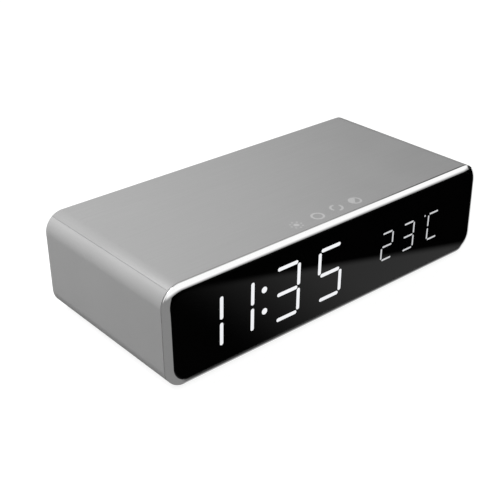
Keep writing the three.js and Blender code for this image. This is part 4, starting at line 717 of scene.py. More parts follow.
def figure_tree():
    """A seven-stroke figure of round-ended bars, on the given place, facing -Y."""
    tree, given = socketed_tree(
        "seven_stroke_figure",
        Float=["Width", "Height", "Stroke", "Slant", "End Gap", "Flat Gap"],
        Vector=["Place"],
        Bool=list(STROKES),
    )
    stroke = given["Stroke"]
    half_stroke = halved(tree, stroke)
    half_height = halved(tree, given["Height"])
    half_width = halved(tree, given["Width"])
    clearance = calculate(tree, "ADD", half_stroke, given["End Gap"])
    flat_clearance = calculate(tree, "ADD", half_stroke, given["Flat Gap"])
    flat_length = calculate(tree, "MULTIPLY_ADD", flat_clearance, -2.0, given["Width"])
    upright_length = calculate(tree, "SUBTRACT", half_height, clearance)
    upright_length = calculate(tree, "SUBTRACT", upright_length, given["End Gap"])
    bars = []
    for width, height in ((flat_length, stroke), (stroke, upright_length)):
        outline = form(tree, "CurvePrimitiveQuadrilateral", {"Width": width, "Height": height})
        bars.append(filled(tree, bent(tree, outline, half_stroke)))
    strokes = []
    for name, (across, along, upright) in STROKES.items():
        x = times(tree, half_width, float(across))
        y = times(tree, half_height, float(along))
        bar = moved(tree, bars[upright], combined(tree, x, y))
        switch = {"Switch": given[name], "True": bar}
        strokes.append(form(tree, "Switch", switch, input_type="GEOMETRY"))
    height = apart(tree, form(tree, "InputPosition"))["Y"]
    lean = times(tree, height, calculate(tree, "TANGENT", given["Slant"]))
    offset = combined(tree, lean)
    leaning = form(tree, "SetPosition", {"Geometry": joined(tree, strokes), "Offset": offset})
    return finish_tree(tree, given, moved(tree, leaning, given["Place"], UPRIGHT))


def dot_tree():
    """Round dots of light at the given points, facing -Y."""
    tree, given = socketed_tree("dots_of_light", Float=["Diameter"])
    disc = filled(tree, circle(tree, halved(tree, given["Diameter"]), 24))
    return set_out(tree, given, disc, Rotation=UPRIGHT)


def lit_material(name, glow):
    """Film that glows with the light of a stroke."""
    look = {"roughness": 0.6, "grain": 0.6 * MM, "drift": 0.05, "emission_strength": glow}
    material, tree, shader, colour, _ = surfaced(name, "#FBFCFF", **look)
    tree.links.new(colour, shader.inputs["Emission Color"])
    shader.inputs["Base Color"].default_value = paint("#202020")
    return material


LARGE_FIGURES = (("1", 21.5), ("1", 38.1), ("3", 64.2), ("5", 89.6))  # mm from the left side
SMALL_FIGURES = (("2", 63.4), ("3", 48.8), ("C", 31.3))  # mm from the right side
COLON_FROM_LEFT = 51.2 * MM
COLON_SPREAD = 10.5 * MM
COLON_DOT = 3.0 * MM
COLON_RISE = 0.5 * MM
DEGREE_FROM_RIGHT = 37.4 * MM
FIGURE_DROP = 0.7 * MM
SMALL_RISE = 0.3 * MM
FIGURE_SHAPE = {"Slant": math.radians(1.8), "End Gap": 0.35 * MM}
LARGE_SIZES = {"Width": 13 * MM, "Height": 24.7 * MM, "Stroke": 1.8 * MM, "Flat Gap": -0.2 * MM}
SMALL_SIZES = {"Width": 7.2 * MM, "Height": 13.6 * MM, "Stroke": 0.9 * MM, "Flat Gap": 0.1 * MM}
FIGURE_PROUD = 0.03 * MM

lit_large = lit_material("lit_diffuser", glow=0.92)
lit_small = lit_material("dimly_lit_diffuser", glow=0.62)
figures = figure_tree()
case_left, case_right = bezel_low.x, bezel_high.x
figure_y = lens_low.y - FIGURE_PROUD
figure_z = (bezel_low.z + bezel_high.z) / 2 - FIGURE_DROP
small_z = figure_z + SMALL_RISE
large = {**LARGE_SIZES, **FIGURE_SHAPE, "Material": lit_large}
small = {**SMALL_SIZES, **FIGURE_SHAPE, "Material": lit_small}
places = [(code, case_left + x * MM, figure_z, large) for code, x in LARGE_FIGURES]
places += [(code, case_right - x * MM, small_z, small) for code, x in SMALL_FIGURES]
for number, (code, x, z, sizes) in enumerate(places, start=1):
    lit = {name: name in LIT[code] for name in STROKES}
    settings = {**sizes, **lit, "Place": (x, figure_y, z)}
    belongs(grown(f"lit_figure_{number}", figures, settings), "diffuser")
dots = dot_tree()
colon_x, colon_z = case_left + COLON_FROM_LEFT, figure_z + COLON_RISE
colon_points = [(colon_x, figure_y, colon_z + side * COLON_SPREAD / 2) for side in (-1, 1)]
degree_point = (case_right - DEGREE_FROM_RIGHT, figure_y, small_z + SMALL_SIZES["Height"] / 2)
for name, points, diameter, film in (
    ("lit_colon", colon_points, COLON_DOT, lit_large),
    ("lit_degree", [degree_point], SMALL_SIZES["Stroke"], lit_small),
):
    belongs(grown(name, dots, {"Diameter": diameter, "Material": film}, points), "diffuser")


# The top cover: a plate with a finely brushed film, turned down over both shoulders. Brush
# lines run along the clock.

BRUSH_PITCH = 0.12 * MM
BRUSH_LENGTH = 30 * MM
BRUSH_NOISE = (0.25, 0.75)  # the span of the noise that counts
BRUSH_SHADES = (0.93, 1.07)
BRUSH_DEPTH = 0.01 * MM

film_look = {"roughness": 0.42, "grain": 0.3 * MM, "drift": 0.015, "sheen_drift": 0.04}
brushed, tree, shader, colour, _ = surfaced("brushed_film", "#A2A2A2", **film_look, metallic=0.25)
brush_scale = (1 / BRUSH_LENGTH, 1 / BRUSH_PITCH, 1 / BRUSH_PITCH)
brush_place = made(tree, "ShaderNodeMapping", {"Vector": place_in(tree), "Scale": brush_scale})
brush_detail = {"Vector": brush_place, "Scale": 1.0, "Detail": 3.0, "Roughness": 0.6}
brush_lines = made(tree, "ShaderNodeTexNoise", brush_detail)
brush_shade = graded(tree, brush_lines, *BRUSH_NOISE, *BRUSH_SHADES, "LINEAR")
dressed(tree, shader, scaled(tree, colour, brush_shade), brush_lines, BRUSH_DEPTH)
finished("top_cover", brushed, "cover_film", edge=0.08 * MM)


# The touch keys' marks, printed on the film: a sun, a ring, two facing arcs and a half-filled
# ring. The keys themselves are pads on the board under the cover.

SUN_RAYS = 8
MARK_PLACES = ((-18.2, -36.3), (-5.3, -36.0), (6.7, -35.5), (18.2, -35.7))  # mm, in x and y
MARK_PROUD = 0.02 * MM
MARK_LEAN = math.radians(-40)
MARK_SIZES = {"Size": 5.5 * MM, "Line": 1.05 * MM}
FACING_ARC = math.radians(130)


def swept(tree, curve, section, caps=False):
    """A section swept along a curve."""
    values = {"Curve": curve, "Profile Curve": section, "Fill Caps": caps}
    return form(tree, "CurveToMesh", values)


def key_mark_tree():
    """Four printed marks in a row, flat on their places."""
    tree, given = socketed_tree("key_marks", Float=["Size", "Line"])
    half, half_line = halved(tree, given["Size"]), halved(tree, given["Line"])
    pen_start = combined(tree, times(tree, half_line, -1.0))
    pen = form(tree, "CurvePrimitiveLine", {"Start": pen_start, "End": combined(tree, half_line)})

    def arc(radius, sweep):
        values = {"Resolution": 24, "Radius": radius, "Start Angle": -sweep / 2, "Sweep Angle": sweep}
        return form(tree, "CurveArc", values)

    def turned(geometry, angle):
        return moved(tree, geometry, turn=Euler((0, 0, MARK_LEAN + angle)))

    rays = at_points(tree, circle(tree, half, SUN_RAYS), filled(tree, circle(tree, half_line, 12)))
    disc = filled(tree, circle(tree, halved(tree, half), 24))
    ring = swept(tree, circle(tree, half, 32), pen)
    facing = swept(tree, arc(half, FACING_ARC), pen)
    half_ring = arc(calculate(tree, "SUBTRACT", half, half_line), math.pi)
    half_disc = filled(tree, form(tree, "SetSplineCyclic", {"Geometry": half_ring, "Cyclic": True}))
    marks = [
        joined(tree, (rays, disc)),
        ring,
        joined(tree, (turned(facing, 0.0), turned(facing, math.pi))),
        joined(tree, (ring, turned(half_disc, math.pi))),
    ]
    kinds = joined(tree, marks, "GeometryToInstance")
    return set_out(tree, given, kinds, **{"Pick Instance": True})


mark_ink = moulded("key_mark_ink", "#B4B4B4", roughness=0.5, grain=0.2 * MM)
mark_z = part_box("top_cover")[1].z + MARK_PROUD
mark_points = [(x * MM, y * MM, mark_z) for x, y in MARK_PLACES]
key_marks = grown("key_marks", key_mark_tree(), {**MARK_SIZES, "Material": mark_ink}, mark_points)
belongs(key_marks, "cover_film")


# The rear cover and the battery door, moulded in the case's own plastic. The cover drops between
# the case's walls on two screws, and the door hooks in at its front and snaps shut at its rear.

finished("rear_cover", case_plastic, "case_plastic", edge=0.15 * MM)
finished("battery_door", case_plastic, "case_plastic", edge=0.1 * MM, body="door")


# The power inlet: a folded steel shell round a dark tongue with a row of gilt contacts on both
# faces.


def rows_tree():
    """Rows of like blocks, set round the given point at equal angles, each row off its middle."""
    inputs = {"Int": ["Count", "Rows"], "Float": ["Pitch", "Offset"], "Vector": ["Block", "Turn"]}
    tree, given = socketed_tree("rows_of_blocks", **inputs)
    gaps = calculate(tree, "SUBTRACT", given["Count"], 1.0)
    half_span = times(tree, times(tree, gaps, given["Pitch"]), -0.5)
    start = combined(tree, half_span, given["Offset"])
    step = combined(tree, given["Pitch"])
    line = form(tree, "MeshLine", {"Count": given["Count"], "Start Location": start, "Offset": step})
    row = at_points(tree, line, form(tree, "MeshCube", {"Size": given["Block"]}))
    turn = times(tree, form(tree, "InputIndex"), 2 * math.pi)
    turn = combined(tree, z=calculate(tree, "DIVIDE", turn, given["Rows"]))
    around = at_points(tree, form(tree, "Points", {"Count": given["Rows"]}), row, Rotation=turn)
    return set_out(tree, given, around, Rotation=given["Turn"])


TONGUE_WIDTH = 6.6 * MM
TONGUE_THICKNESS = 0.76 * MM
TONGUE_SETBACK = 0.6 * MM
TONGUE_LENGTH = 6.2 * MM
CONTACT_ROW = {"Count": 12, "Pitch": 0.5 * MM, "Rows": 1}
CONTACT_SIZE = (0.28 * MM, 0.8 * TONGUE_LENGTH, 0.04 * MM)
POLISHED = {"depth": 0.004 * MM, "metallic": 1.0}
PLATED = {"grain": 0.2 * MM, "depth": 0.003 * MM, "metallic": 1.0}

rows = rows_tree()
inlet_steel = moulded("inlet_steel", "#B8BABD", roughness=0.28, grain=0.5 * MM, **POLISHED)
dark_plastic = moulded("dark_plastic", "#1B1B1D", roughness=0.5, grain=0.2 * MM)
gilt = moulded("gilt_contact", "#D9B25C", roughness=0.25, **PLATED)
finished("power_inlet", inlet_steel, "inlet_steel", edge=0.04 * MM)
inlet_low, inlet_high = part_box("power_inlet")
inlet_centre = (inlet_low + inlet_high) / 2
inlet_centre.y = inlet_high.y - TONGUE_SETBACK - TONGUE_LENGTH / 2
tongue_block = (TONGUE_WIDTH, TONGUE_LENGTH, TONGUE_THICKNESS)
tongue_sizes = {"Count": 1, "Rows": 1, "Block": tongue_block, "Material": dark_plastic}
belongs(grown("inlet_tongue", rows, tongue_sizes, [inlet_centre]), "black_plastic")
contact_sizes = {**CONTACT_ROW, "Block": CONTACT_SIZE, "Material": gilt}
for side, label in ((-1, "lower"), (1, "upper")):
    contact_place = inlet_centre + Vector((0, 0, side * TONGUE_THICKNESS / 2))
    contacts = grown(f"inlet_contacts_{label}", rows, contact_sizes, [contact_place])
    belongs(contacts, "contact_steel")


# The charging coil: eight turns of twisted, enamelled litz wire in a flat spiral, with a lead
# from each end that drops through the carrier to the charger board.

WIRE_SIDES = 14


def strand_tube(tree, given, curve):
    """Sweeps the given wire along a curve. Each point keeps where the wire's middle lies, how it is
    turned and how far along it is, for the strands' relief and the painted shade between them."""
    tangent, across = form(tree, "InputTangent"), form(tree, "InputNormal")
    vectors = {
        "centre": form(tree, "InputPosition"),
        "across": across,
        "over": on_vectors(tree, "CROSS_PRODUCT", tangent, across),
    }
    numbers = {"along": form(tree, "SplineParameter", output="Length")}
    for kind, values in (("FLOAT_VECTOR", vectors), ("FLOAT", numbers)):
        for name, value in values.items():
            stored = {"Geometry": curve, "Name": name, "Value": value}
            curve = form(tree, "StoreNamedAttribute", stored, data_type=kind, domain="POINT")
    section = circle(tree, halved(tree, given["Wire"]), WIRE_SIDES)
    return finish_tree(tree, given, swept(tree, curve, section, caps=True))


def wound_tree():
    """Wire wound about the given place. Each turn goes outwards by the pitch and up by the rise."""
    tree, given = socketed_tree(
        "wound_wire",
        Vector=["Place", "Turn"],
        Int=["Resolution"],
        Float=["Turns", "Radius", "Pitch", "Rise", "Wire"],
        Bool=["Reverse"],
    )
    turns, radius = given["Turns"], given["Radius"]
    path = {
        "Resolution": given["Resolution"],
        "Rotations": turns,
        "Start Radius": radius,
        "End Radius": calculate(tree, "MULTIPLY_ADD", turns, given["Pitch"], radius),
        "Height": times(tree, turns, given["Rise"]),
        "Reverse": given["Reverse"],
    }
    wound = moved(tree, form(tree, "CurveSpiral", path), given["Place"], given["Turn"])
    return strand_tube(tree, given, wound)


def lead_tree():
    """A wire bent smoothly through the given points."""
    tree, given = socketed_tree("coil_lead", Float=["Wire", "Bend"])
    path = bent(tree, form(tree, "MeshToCurve", {"Mesh": given["Geometry"]}), given["Bend"])
    return strand_tube(tree, given, path)


STRANDS = 9
STRAND_LAY = 7 * MM  # length of one twist
# painted shade: the wire's colour darkens in the creases between strands, down to the first factor below
STRAND_FLANK = (0.0, 0.7)  # the height, of a strand's own, over which its shade grows
STRAND_PAINTED_SHADE = (0.35, 1.0)
STRAND_DEPTH = 0.12 * MM
COIL_WIRE = 1.1 * MM
COIL_SIZES = {"Turns": 8.0, "Radius": 11 * MM, "Pitch": 1.7 * MM, "Rise": 0.0, "Wire": COIL_WIRE}
FROM_LEFT = {"Turn": (0.0, 0.0, math.pi), "Reverse": True, "Resolution": 72}

litz_look = {"roughness": 0.38, "grain": 0.4 * MM, "drift": 0.08, "sheen_drift": 0.06}
litz, tree, shader, colour, _ = surfaced("enamelled_litz", "#B86A35", **litz_look, metallic=0.85)


def on_wire(tree, name, output="Vector"):
    """A vector or number that the wire's mesh keeps."""
    settings = {"attribute_type": "GEOMETRY", "attribute_name": name}
    return made(tree, "ShaderNodeAttribute", output=output, **settings)


from_middle = on_vectors(tree, "SUBTRACT", place_in(tree), on_wire(tree, "centre"))
over = on_vectors(tree, "DOT_PRODUCT", from_middle, on_wire(tree, "over"))
across = on_vectors(tree, "DOT_PRODUCT", from_middle, on_wire(tree, "across"))
strand_turn = times(tree, calculate(tree, "ARCTAN2", over, across), STRANDS / 2)
twist = math.pi * STRANDS / STRAND_LAY
strand_phase = calculate(tree, "MULTIPLY_ADD", on_wire(tree, "along", "Fac"), twist, strand_turn)
strand_height = calculate(tree, "ABSOLUTE", calculate(tree, "SINE", strand_phase))
# painted shade in the creases between strands, on top of their relief
strand_painted_shade = graded(tree, strand_height, *STRAND_FLANK, *STRAND_PAINTED_SHADE)
dressed(tree, shader, scaled(tree, colour, strand_painted_shade), strand_height, STRAND_DEPTH)

wound_wire = wound_tree()
coil_low, coil_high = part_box("charging_coil")
ferrite_low, ferrite_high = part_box("coil_ferrite")
coil_middle = Vector((0, (ferrite_low.y + ferrite_high.y) / 2, (coil_low.z + coil_high.z) / 2))
coil = grown("litz_coil", wound_wire, {**COIL_SIZES, **FROM_LEFT, "Place": coil_middle, "Material": litz})
belongs(coil, "coil_copper", "charging_coil")

LEAD_TERMINAL_Y = 8.3 * MM
LEAD_BEND = 1.1 * MM
LEAD_FOOT = 6.6 * MM  # straight above the terminal
LEAD_PLACES = {  # in mm: where the lead leaves the coil, and the hole that it drops through
    "inner": ((-11.0, 5.6), (-8.0, 9.0)),
    "outer": ((-24.6, 4.4), (-30.05, -3.0)),
}

lead_wire = lead_tree()
lead_sizes = {"Wire": COIL_WIRE, "Bend": LEAD_BEND, "Material": litz}
carrier_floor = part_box("coil_carrier")[0].z
for label, (start, hole) in LEAD_PLACES.items():
    start, hole = Vector(start) * MM, Vector(hole) * MM
    lead_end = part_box(f"coil_lead_{label}")[0].z
    path = [
        (start.x, start.y, coil_middle.z),
        (hole.x, hole.y, coil_middle.z),
        (hole.x, hole.y, carrier_floor - LEAD_BEND),
        (hole.x, LEAD_TERMINAL_Y, lead_end + LEAD_FOOT),
        (hole.x, LEAD_TERMINAL_Y, lead_end),
    ]
    stretches = [(i, i + 1) for i in range(len(path) - 1)]
    lead = grown(f"litz_lead_{label}", lead_wire, lead_sizes, path, stretches)
    belongs(lead, "coil_copper", f"coil_lead_{label}")


# Under the coil lie a thin plate of sintered ferrite, dull and a little speckled, and the white
# moulded tray that holds both up against the cover.

ferrite = moulded("sintered_ferrite", "#3B3B3E", roughness=0.75, grain=0.5 * MM, drift=0.14)
white_plastic = moulded("white_plastic", "#ECECE8", roughness=0.42, grain=0.2 * MM)
finished("coil_ferrite", ferrite, "ferrite", edge=0.1 * MM)
finished("coil_carrier", white_plastic, "white_plastic", edge=0.12 * MM)


# The circuit boards: glass laminate under green solder mask, with copper tracks that show through
# as paler lines, tinned holes, and bare laminate at the cut edges.

TRACK_PITCH = 0.9 * MM
TRACK_HALF = 0.22  # of the pitch
TRACK_TILE = Vector((6.3, 6.3, 6.3)) * MM  # a tile's tracks run one way
BARE_TILES = 0.35  # of all tiles
HOLE_PITCH = 4.2 * MM
HOLE_SIZE = 0.09  # of the pitch
HOLE_SCATTER = 0.8
TRACK_RELIEF = 0.5  # of the relief's depth
SOLDER_MASK = "#14512C"
TRACK = "#2C7A47"
TINNED_HOLE = "#C8C4B4"
CUT_EDGE = "#8F8B55"
PALE_PARTS = "#E6E2D4"
DARK_BLOCK = "#1A1A1C"


def circuit_group():
    """The tracks and tinned holes on a board's face, from a place across and along it."""
    tree = bpy.data.node_groups.new("circuit", "ShaderNodeTree")
    add_sockets(tree, "INPUT", Float=["Across", "Along"])
    add_sockets(tree, "OUTPUT", Float=["Track", "Hole"])
    given = node(tree, "NodeGroupInput").outputs
    place = combined(tree, given["Across"], given["Along"])
    tile = on_vectors(tree, "SNAP", place, TRACK_TILE)
    chance = node(tree, "ShaderNodeTexWhiteNoise", {"Vector": tile}).outputs
    turned = calculate(tree, "GREATER_THAN", chance["Value"], 0.5)
    crosswise = blended(tree, turned, given["Across"], given["Along"])
    phase = calculate(tree, "FRACT", calculate(tree, "DIVIDE", crosswise, TRACK_PITCH))
    track = calculate(tree, "COMPARE", phase, 0.5, TRACK_HALF)
    other_chance = made(tree, "ShaderNodeSeparateColor", {"Color": chance["Color"]})
    laid = calculate(tree, "GREATER_THAN", other_chance, BARE_TILES)
    scatter = {"Vector": place, "Scale": 1 / HOLE_PITCH, "Randomness": HOLE_SCATTER}
    spots = made(tree, "ShaderNodeTexVoronoi", scatter, "Distance", voronoi_dimensions="2D")
    hole = calculate(tree, "LESS_THAN", spots, HOLE_SIZE)
    node(tree, "NodeGroupOutput", {"Track": times(tree, track, laid), "Hole": hole})
    return tree


circuit = circuit_group()
ON_FACE = 0.05 * MM  # how near counts as on a face


def painted(tree, mask, colour, code):
    """A colour, with another in its place where the mask says so."""
    colours = {0: mask, 6: colour, 7: paint(code)}
    return made(tree, "ShaderNodeMix", colours, 2, data_type="RGBA")


def board_material(name, across, along, normal, faces, blocks=()):
    """A populated board. Faces are its two levels along its normal. Past those, what stands on it
    is pale, or dark within the given blocks, each a middle and half size in the board's plane."""
    look = {"roughness": 0.42, "grain": 0.3 * MM, "drift": 0.05, "coat_weight": 0.2}
    material, tree, shader, _, height = surfaced(name, "#FFFFFF", **look)
    parts = apart(tree, place_in(tree))
    plane = {"Across": parts[across], "Along": parts[along]}
    pattern = node(tree, "ShaderNodeGroup", plane, node_tree=circuit).outputs
    middle, half = (faces[0] + faces[1]) / 2, abs(faces[1] - faces[0]) / 2
    in_edge = calculate(tree, "COMPARE", parts[normal], middle, half - ON_FACE)
    on_plate = calculate(tree, "COMPARE", parts[normal], middle, half + ON_FACE)
    off_plate = calculate(tree, "SUBTRACT", 1.0, on_plate)
    colour = painted(tree, pattern["Track"], paint(SOLDER_MASK), TRACK)
    colour = painted(tree, pattern["Hole"], colour, TINNED_HOLE)
    colour = painted(tree, in_edge, colour, CUT_EDGE)
    colour = painted(tree, off_plate, colour, PALE_PARTS)
    for (block_x, block_y), reach in blocks:
        beside = calculate(tree, "COMPARE", parts[across], block_x, reach + ON_FACE)
        within = calculate(tree, "COMPARE", parts[along], block_y, reach + ON_FACE)
        inside = times(tree, beside, within)
        colour = painted(tree, times(tree, inside, off_plate), colour, DARK_BLOCK)
    raised = calculate(tree, "MULTIPLY_ADD", pattern["Track"], TRACK_RELIEF, height)
    dressed(tree, shader, colour, raised, depth=0.03 * MM)
    return material


BOARD_THICKNESS = 1.6 * MM
CHARGER_CHIP_PLACE = (31 * MM, 29.5 * MM)  # from the board's left and front edges
CHARGER_CHIP_HALF = 4 * MM
CHARGER_CHIP_LEGS = {"Count": 10, "Pitch": 0.7 * MM}
LEG_SIZE = (0.3 * MM, 0.9 * MM, 0.15 * MM)
LEG_REACH = LEG_SIZE[1] / 3  # of its middle past the chip's side

tin = moulded("tinned_leg", "#C4C6C8", roughness=0.3, **PLATED)


def chip_legs(name, row, half, place, turn=(0, 0, 0)):
    """A row of tinned legs along each side of a chip of the given half size."""
    leg = {"Rows": 4, "Block": LEG_SIZE, "Offset": half + LEG_REACH, "Material": tin}
    belongs(grown(name, rows, {**row, **leg, "Turn": turn}, [place]), "circuit_board")


board_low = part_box("charger_board")[0]
board_top = board_low.z + BOARD_THICKNESS
chip_x, chip_y = board_low.x + CHARGER_CHIP_PLACE[0], board_low.y + CHARGER_CHIP_PLACE[1]
charger_chip = [((chip_x, chip_y), CHARGER_CHIP_HALF)]
charger_look = board_material("charger_board", "X", "Y", "Z", (board_low.z, board_top), charger_chip)
finished("charger_board", charger_look, "circuit_board", edge=0.08 * MM)
leg_place = (chip_x, chip_y, board_top + LEG_SIZE[2])
chip_legs("charger_chip_legs", CHARGER_CHIP_LEGS, CHARGER_CHIP_HALF, leg_place)


# What stands on the charger board: two drawn aluminium cans, two boxed film capacitors, a wound
# drum inductor, and a temperature sensor that is held behind the slots of the rear cover.

CAN_GROOVE = 0.4 * MM
CAN_EASING = 0.14 * MM
PRINT_FROM_AXIS = 1.2 * MM

can_look = {"roughness": 0.3, "grain": 0.15 * MM, "drift": 0.04, "metallic": 1.0}
can_metal, tree, shader, colour, height = surfaced("drawn_can", "#C9CACC", **can_look)
can_parts = apart(tree, place_in(tree))
can_low, can_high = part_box("smoothing_capacitor_1")
print_edge = (can_low.x + can_high.x) / 2 - PRINT_FROM_AXIS
left_of_edge = calculate(tree, "LESS_THAN", can_parts["X"], print_edge)
on_end = calculate(tree, "GREATER_THAN", can_parts["Z"], can_high.z - ON_FACE)
printed_end = times(tree, left_of_edge, on_end)
dressed(tree, shader, painted(tree, printed_end, colour, "#1C1C1E"), height, depth=0.004 * MM)
for number in (1, 2):
    place, radius, height = measured(f"smoothing_capacitor_{number}")
    corners = [
        (0, 0),
        (radius, 0),
        (radius, CAN_GROOVE),
        (radius - CAN_GROOVE, 2 * CAN_GROOVE),
        (radius, 3 * CAN_GROOVE),
        (radius, height),
        (0, height),
    ]
    can = lathe(f"drawn_can_{number}", corners, CAN_EASING, place, can_metal)
    belongs(can, "capacitor_can", f"smoothing_capacitor_{number}")

boxed_film = moulded("boxed_film_capacitor", "#A8431F", roughness=0.38, grain=0.4 * MM, coat_weight=0.3)
for number in (1, 2):
    finished(f"resonance_capacitor_{number}", boxed_film, "capacitor_case", edge=0.35 * MM, segments=3)

DRUM_FLANGE = 1.4 * MM
DRUM_WAIST = 4.8 * MM
DRUM_EASING = 0.2 * MM
WINDING_WIRE = 0.8 * MM

drum_foot, drum_radius, drum_height = measured("power_inductor")
core_radius = DRUM_WAIST - 0.5 * WINDING_WIRE
drum_corners = [
    (0, 0),
    (drum_radius, 0),
    (drum_radius, DRUM_FLANGE),
    (core_radius, DRUM_FLANGE),
    (core_radius, drum_height - DRUM_FLANGE),
    (drum_radius, drum_height - DRUM_FLANGE),
    (drum_radius, drum_height),
    (0, drum_height),
]
drum = lathe("drum_core", drum_corners, DRUM_EASING, drum_foot, ferrite)
belongs(drum, "ferrite", "power_inductor")
winding_look = {"roughness": 0.3, "grain": 0.3 * MM, "depth": 0.004 * MM, "metallic": 0.9}
enamelled_wire = moulded("enamelled_wire", "#B4602C", **winding_look)
winding_sizes = {
    "Place": drum_foot + Vector((0, 0, DRUM_FLANGE + WINDING_WIRE / 2)),
    "Resolution": 40,
    "Turns": (drum_height - 2 * DRUM_FLANGE) / WINDING_WIRE - 1,
    "Radius": DRUM_WAIST,
    "Rise": WINDING_WIRE,
    "Wire": WINDING_WIRE,
    "Material": enamelled_wire,
}
belongs(grown("drum_winding", wound_wire, winding_sizes), "coil_copper")

BEAD_STEPS = 16
SENSOR_LEAD_SPACING = 1.5 * MM
SENSOR_LEAD_RADIUS = 0.35 * MM
SENSOR_LEAD_EASING = 0.1 * MM

bead_resin = moulded("bead_resin", "#1D1D20", roughness=0.35, grain=0.3 * MM)
sensor_foot, bead_radius, sensor_height = measured("temperature_sensor")
lead_height = sensor_height - bead_radius
bead_angles = [math.pi * i / BEAD_STEPS for i in range(1, BEAD_STEPS)]
bead_arc = [(bead_radius * math.sin(a), -bead_radius * math.cos(a)) for a in bead_angles]
bead_corners = [(0, -bead_radius), *bead_arc, (0, bead_radius)]
bead_centre = sensor_foot + Vector((0, 0, lead_height))
bead = lathe("sensor_bead", bead_corners, 0, bead_centre, bead_resin, steps=32)
belongs(bead, "black_plastic", "temperature_sensor")
stem_corners = [(0, 0), (SENSOR_LEAD_RADIUS, 0), (SENSOR_LEAD_RADIUS, lead_height), (0, lead_height)]
for side, label in ((-1, "left"), (1, "right")):
    stem_foot = sensor_foot + Vector((side * SENSOR_LEAD_SPACING / 2, 0, 0))
    stem = lathe(f"sensor_lead_{label}", stem_corners, SENSOR_LEAD_EASING, stem_foot, tin, steps=16)
    belongs(stem, "contact_steel")


# The display stack behind the lens: a frosted film, a white reflector with one well for each
# stroke, and the clock's board with its light sources, its chip and its connectors. The board's
# screws go into bosses behind the bezel.

CLEARANCE = 0.3 * MM
CLOCK_CHIP_PLACE = (-20 * MM, 22 * MM)  # from the middle, and above the case's underside
CLOCK_CHIP_HALF = 5 * MM
CLOCK_CHIP_LEGS = {"Count": 12, "Pitch": 0.75 * MM}
FACING_REAR = (math.pi / 2, 0, 0)

frosted = moulded("frosted_film", "#E6E9EC", roughness=0.6, grain=0.3 * MM, depth=0.01 * MM)
finished("diffuser_film", frosted, "diffuser", edge=0.05 * MM)
finished("digit_reflector", white_plastic, "white_plastic", edge=0.05 * MM, segments=1)
reflector_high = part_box("digit_reflector")[1]
display_front = reflector_high.y + CLEARANCE
display_back = display_front + BOARD_THICKNESS
chip_x, chip_z = CLOCK_CHIP_PLACE[0], bezel_low.z + CLOCK_CHIP_PLACE[1]
clock_chip = [((chip_x, chip_z), CLOCK_CHIP_HALF)]
display_look = board_material("display_board", "X", "Z", "Y", (display_front, display_back), clock_chip)
finished("display_board", display_look, "circuit_board", edge=0.06 * MM, segments=1)

BORE_REACH = 0.95  # of a boss's depth


def boss_tree():
    """Square bosses beside their bores, which stand on the given places and point along Y."""
    tree, given = socketed_tree("screw_bosses", Vector=["Size"], Float=["Beside Bore", "Bore"])
    depth = apart(tree, given["Size"])["Y"]
    side = calculate(tree, "SIGN", apart(tree, form(tree, "InputPosition"))["X"])
    beside = times(tree, side, given["Beside Bore"])
    middle = combined(tree, beside, times(tree, depth, -0.5))
    middles = form(tree, "SetPosition", {"Geometry": given["Geometry"], "Offset": middle})
    drill_length = times(tree, depth, 2 * BORE_REACH)
    bore = {"Vertices": 24, "Radius": given["Bore"], "Depth": drill_length}
    drill = moved(tree, form(tree, "MeshCylinder", bore), turn=UPRIGHT)
    cubes = at_points(tree, middles, form(tree, "MeshCube", {"Size": given["Size"]}))
    drills = at_points(tree, given["Geometry"], drill)
    solids = [form(tree, "RealizeInstances", {"Geometry": placed}) for placed in (cubes, drills)]
    cut = {"Mesh 1": solids[0], "Mesh 2": solids[1]}
    bored = form(tree, "MeshBoolean", cut, operation="DIFFERENCE", solver="EXACT")
    return finish_tree(tree, given, bored)


BOSS_HALF = 3.2 * MM
BOSS_BORE = 1.2 * MM
BOSS_ROOT = 0.6 * MM  # how far a boss stands in the bezel's wall
BOSS_EASING = 0.12 * MM

screw_middles = [sum(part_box(f"display_screw_{i}"), Vector()) / 2 for i in range(1, 5)]
boss_outer = bezel_high.x - OPENING + BOSS_ROOT
boss_inner = reflector_high.x + CLEARANCE
boss_depth = bezel_high.y - (bezel_front + SEAT_DEPTH)
boss_sizes = {
    "Size": (boss_outer - boss_inner, boss_depth, 2 * BOSS_HALF),
    "Beside Bore": (boss_outer + boss_inner) / 2 - abs(screw_middles[0].x),
    "Bore": BOSS_BORE,
    "Material": chrome,
}
boss_places = [(middle.x, bezel_high.y, middle.z) for middle in screw_middles]
bosses = grown("bezel_screw_bosses", boss_tree(), boss_sizes, boss_places)
eased(bosses, BOSS_EASING)
belongs(bosses, "bezel_chrome")

leg_place = (chip_x, display_back + LEG_SIZE[2], chip_z)
chip_legs("clock_chip_legs", CLOCK_CHIP_LEGS, CLOCK_CHIP_HALF, leg_place, FACING_REAR)

SOUNDER_HOLE = 1.2 * MM
SOUNDER_EASING = 0.25 * MM

sounder_low, sounder_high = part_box("sounder")
sounder_place = (sounder_low + sounder_high) / 2
sounder_place.y = sounder_low.y
radius, depth = (sounder_high.x - sounder_low.x) / 2, sounder_high.y - sounder_low.y
sounder_corners = [
    (0, 0),
    (radius, 0),
    (radius, depth),
    (SOUNDER_HOLE, depth),
    (SOUNDER_HOLE, depth / 2),
    (0, depth / 2),
]
sounder = lathe(
    "sounder_can", sounder_corners, SOUNDER_EASING, sounder_place, dark_plastic, turn=-math.pi / 2
)
belongs(sounder, "black_plastic", "sounder")

touch_low, touch_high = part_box("touch_board")
touch_look = board_material("touch_board", "X", "Y", "Z", (touch_low.z, touch_high.z))
finished("touch_board", touch_look, "circuit_board", edge=0.06 * MM)
foam = moulded("open_foam", "#2B2B2D", roughness=0.95, grain=0.4 * MM, depth=0.15 * MM, drift=0.25)
finished("touch_foam", foam, "foam", edge=0.06 * MM)


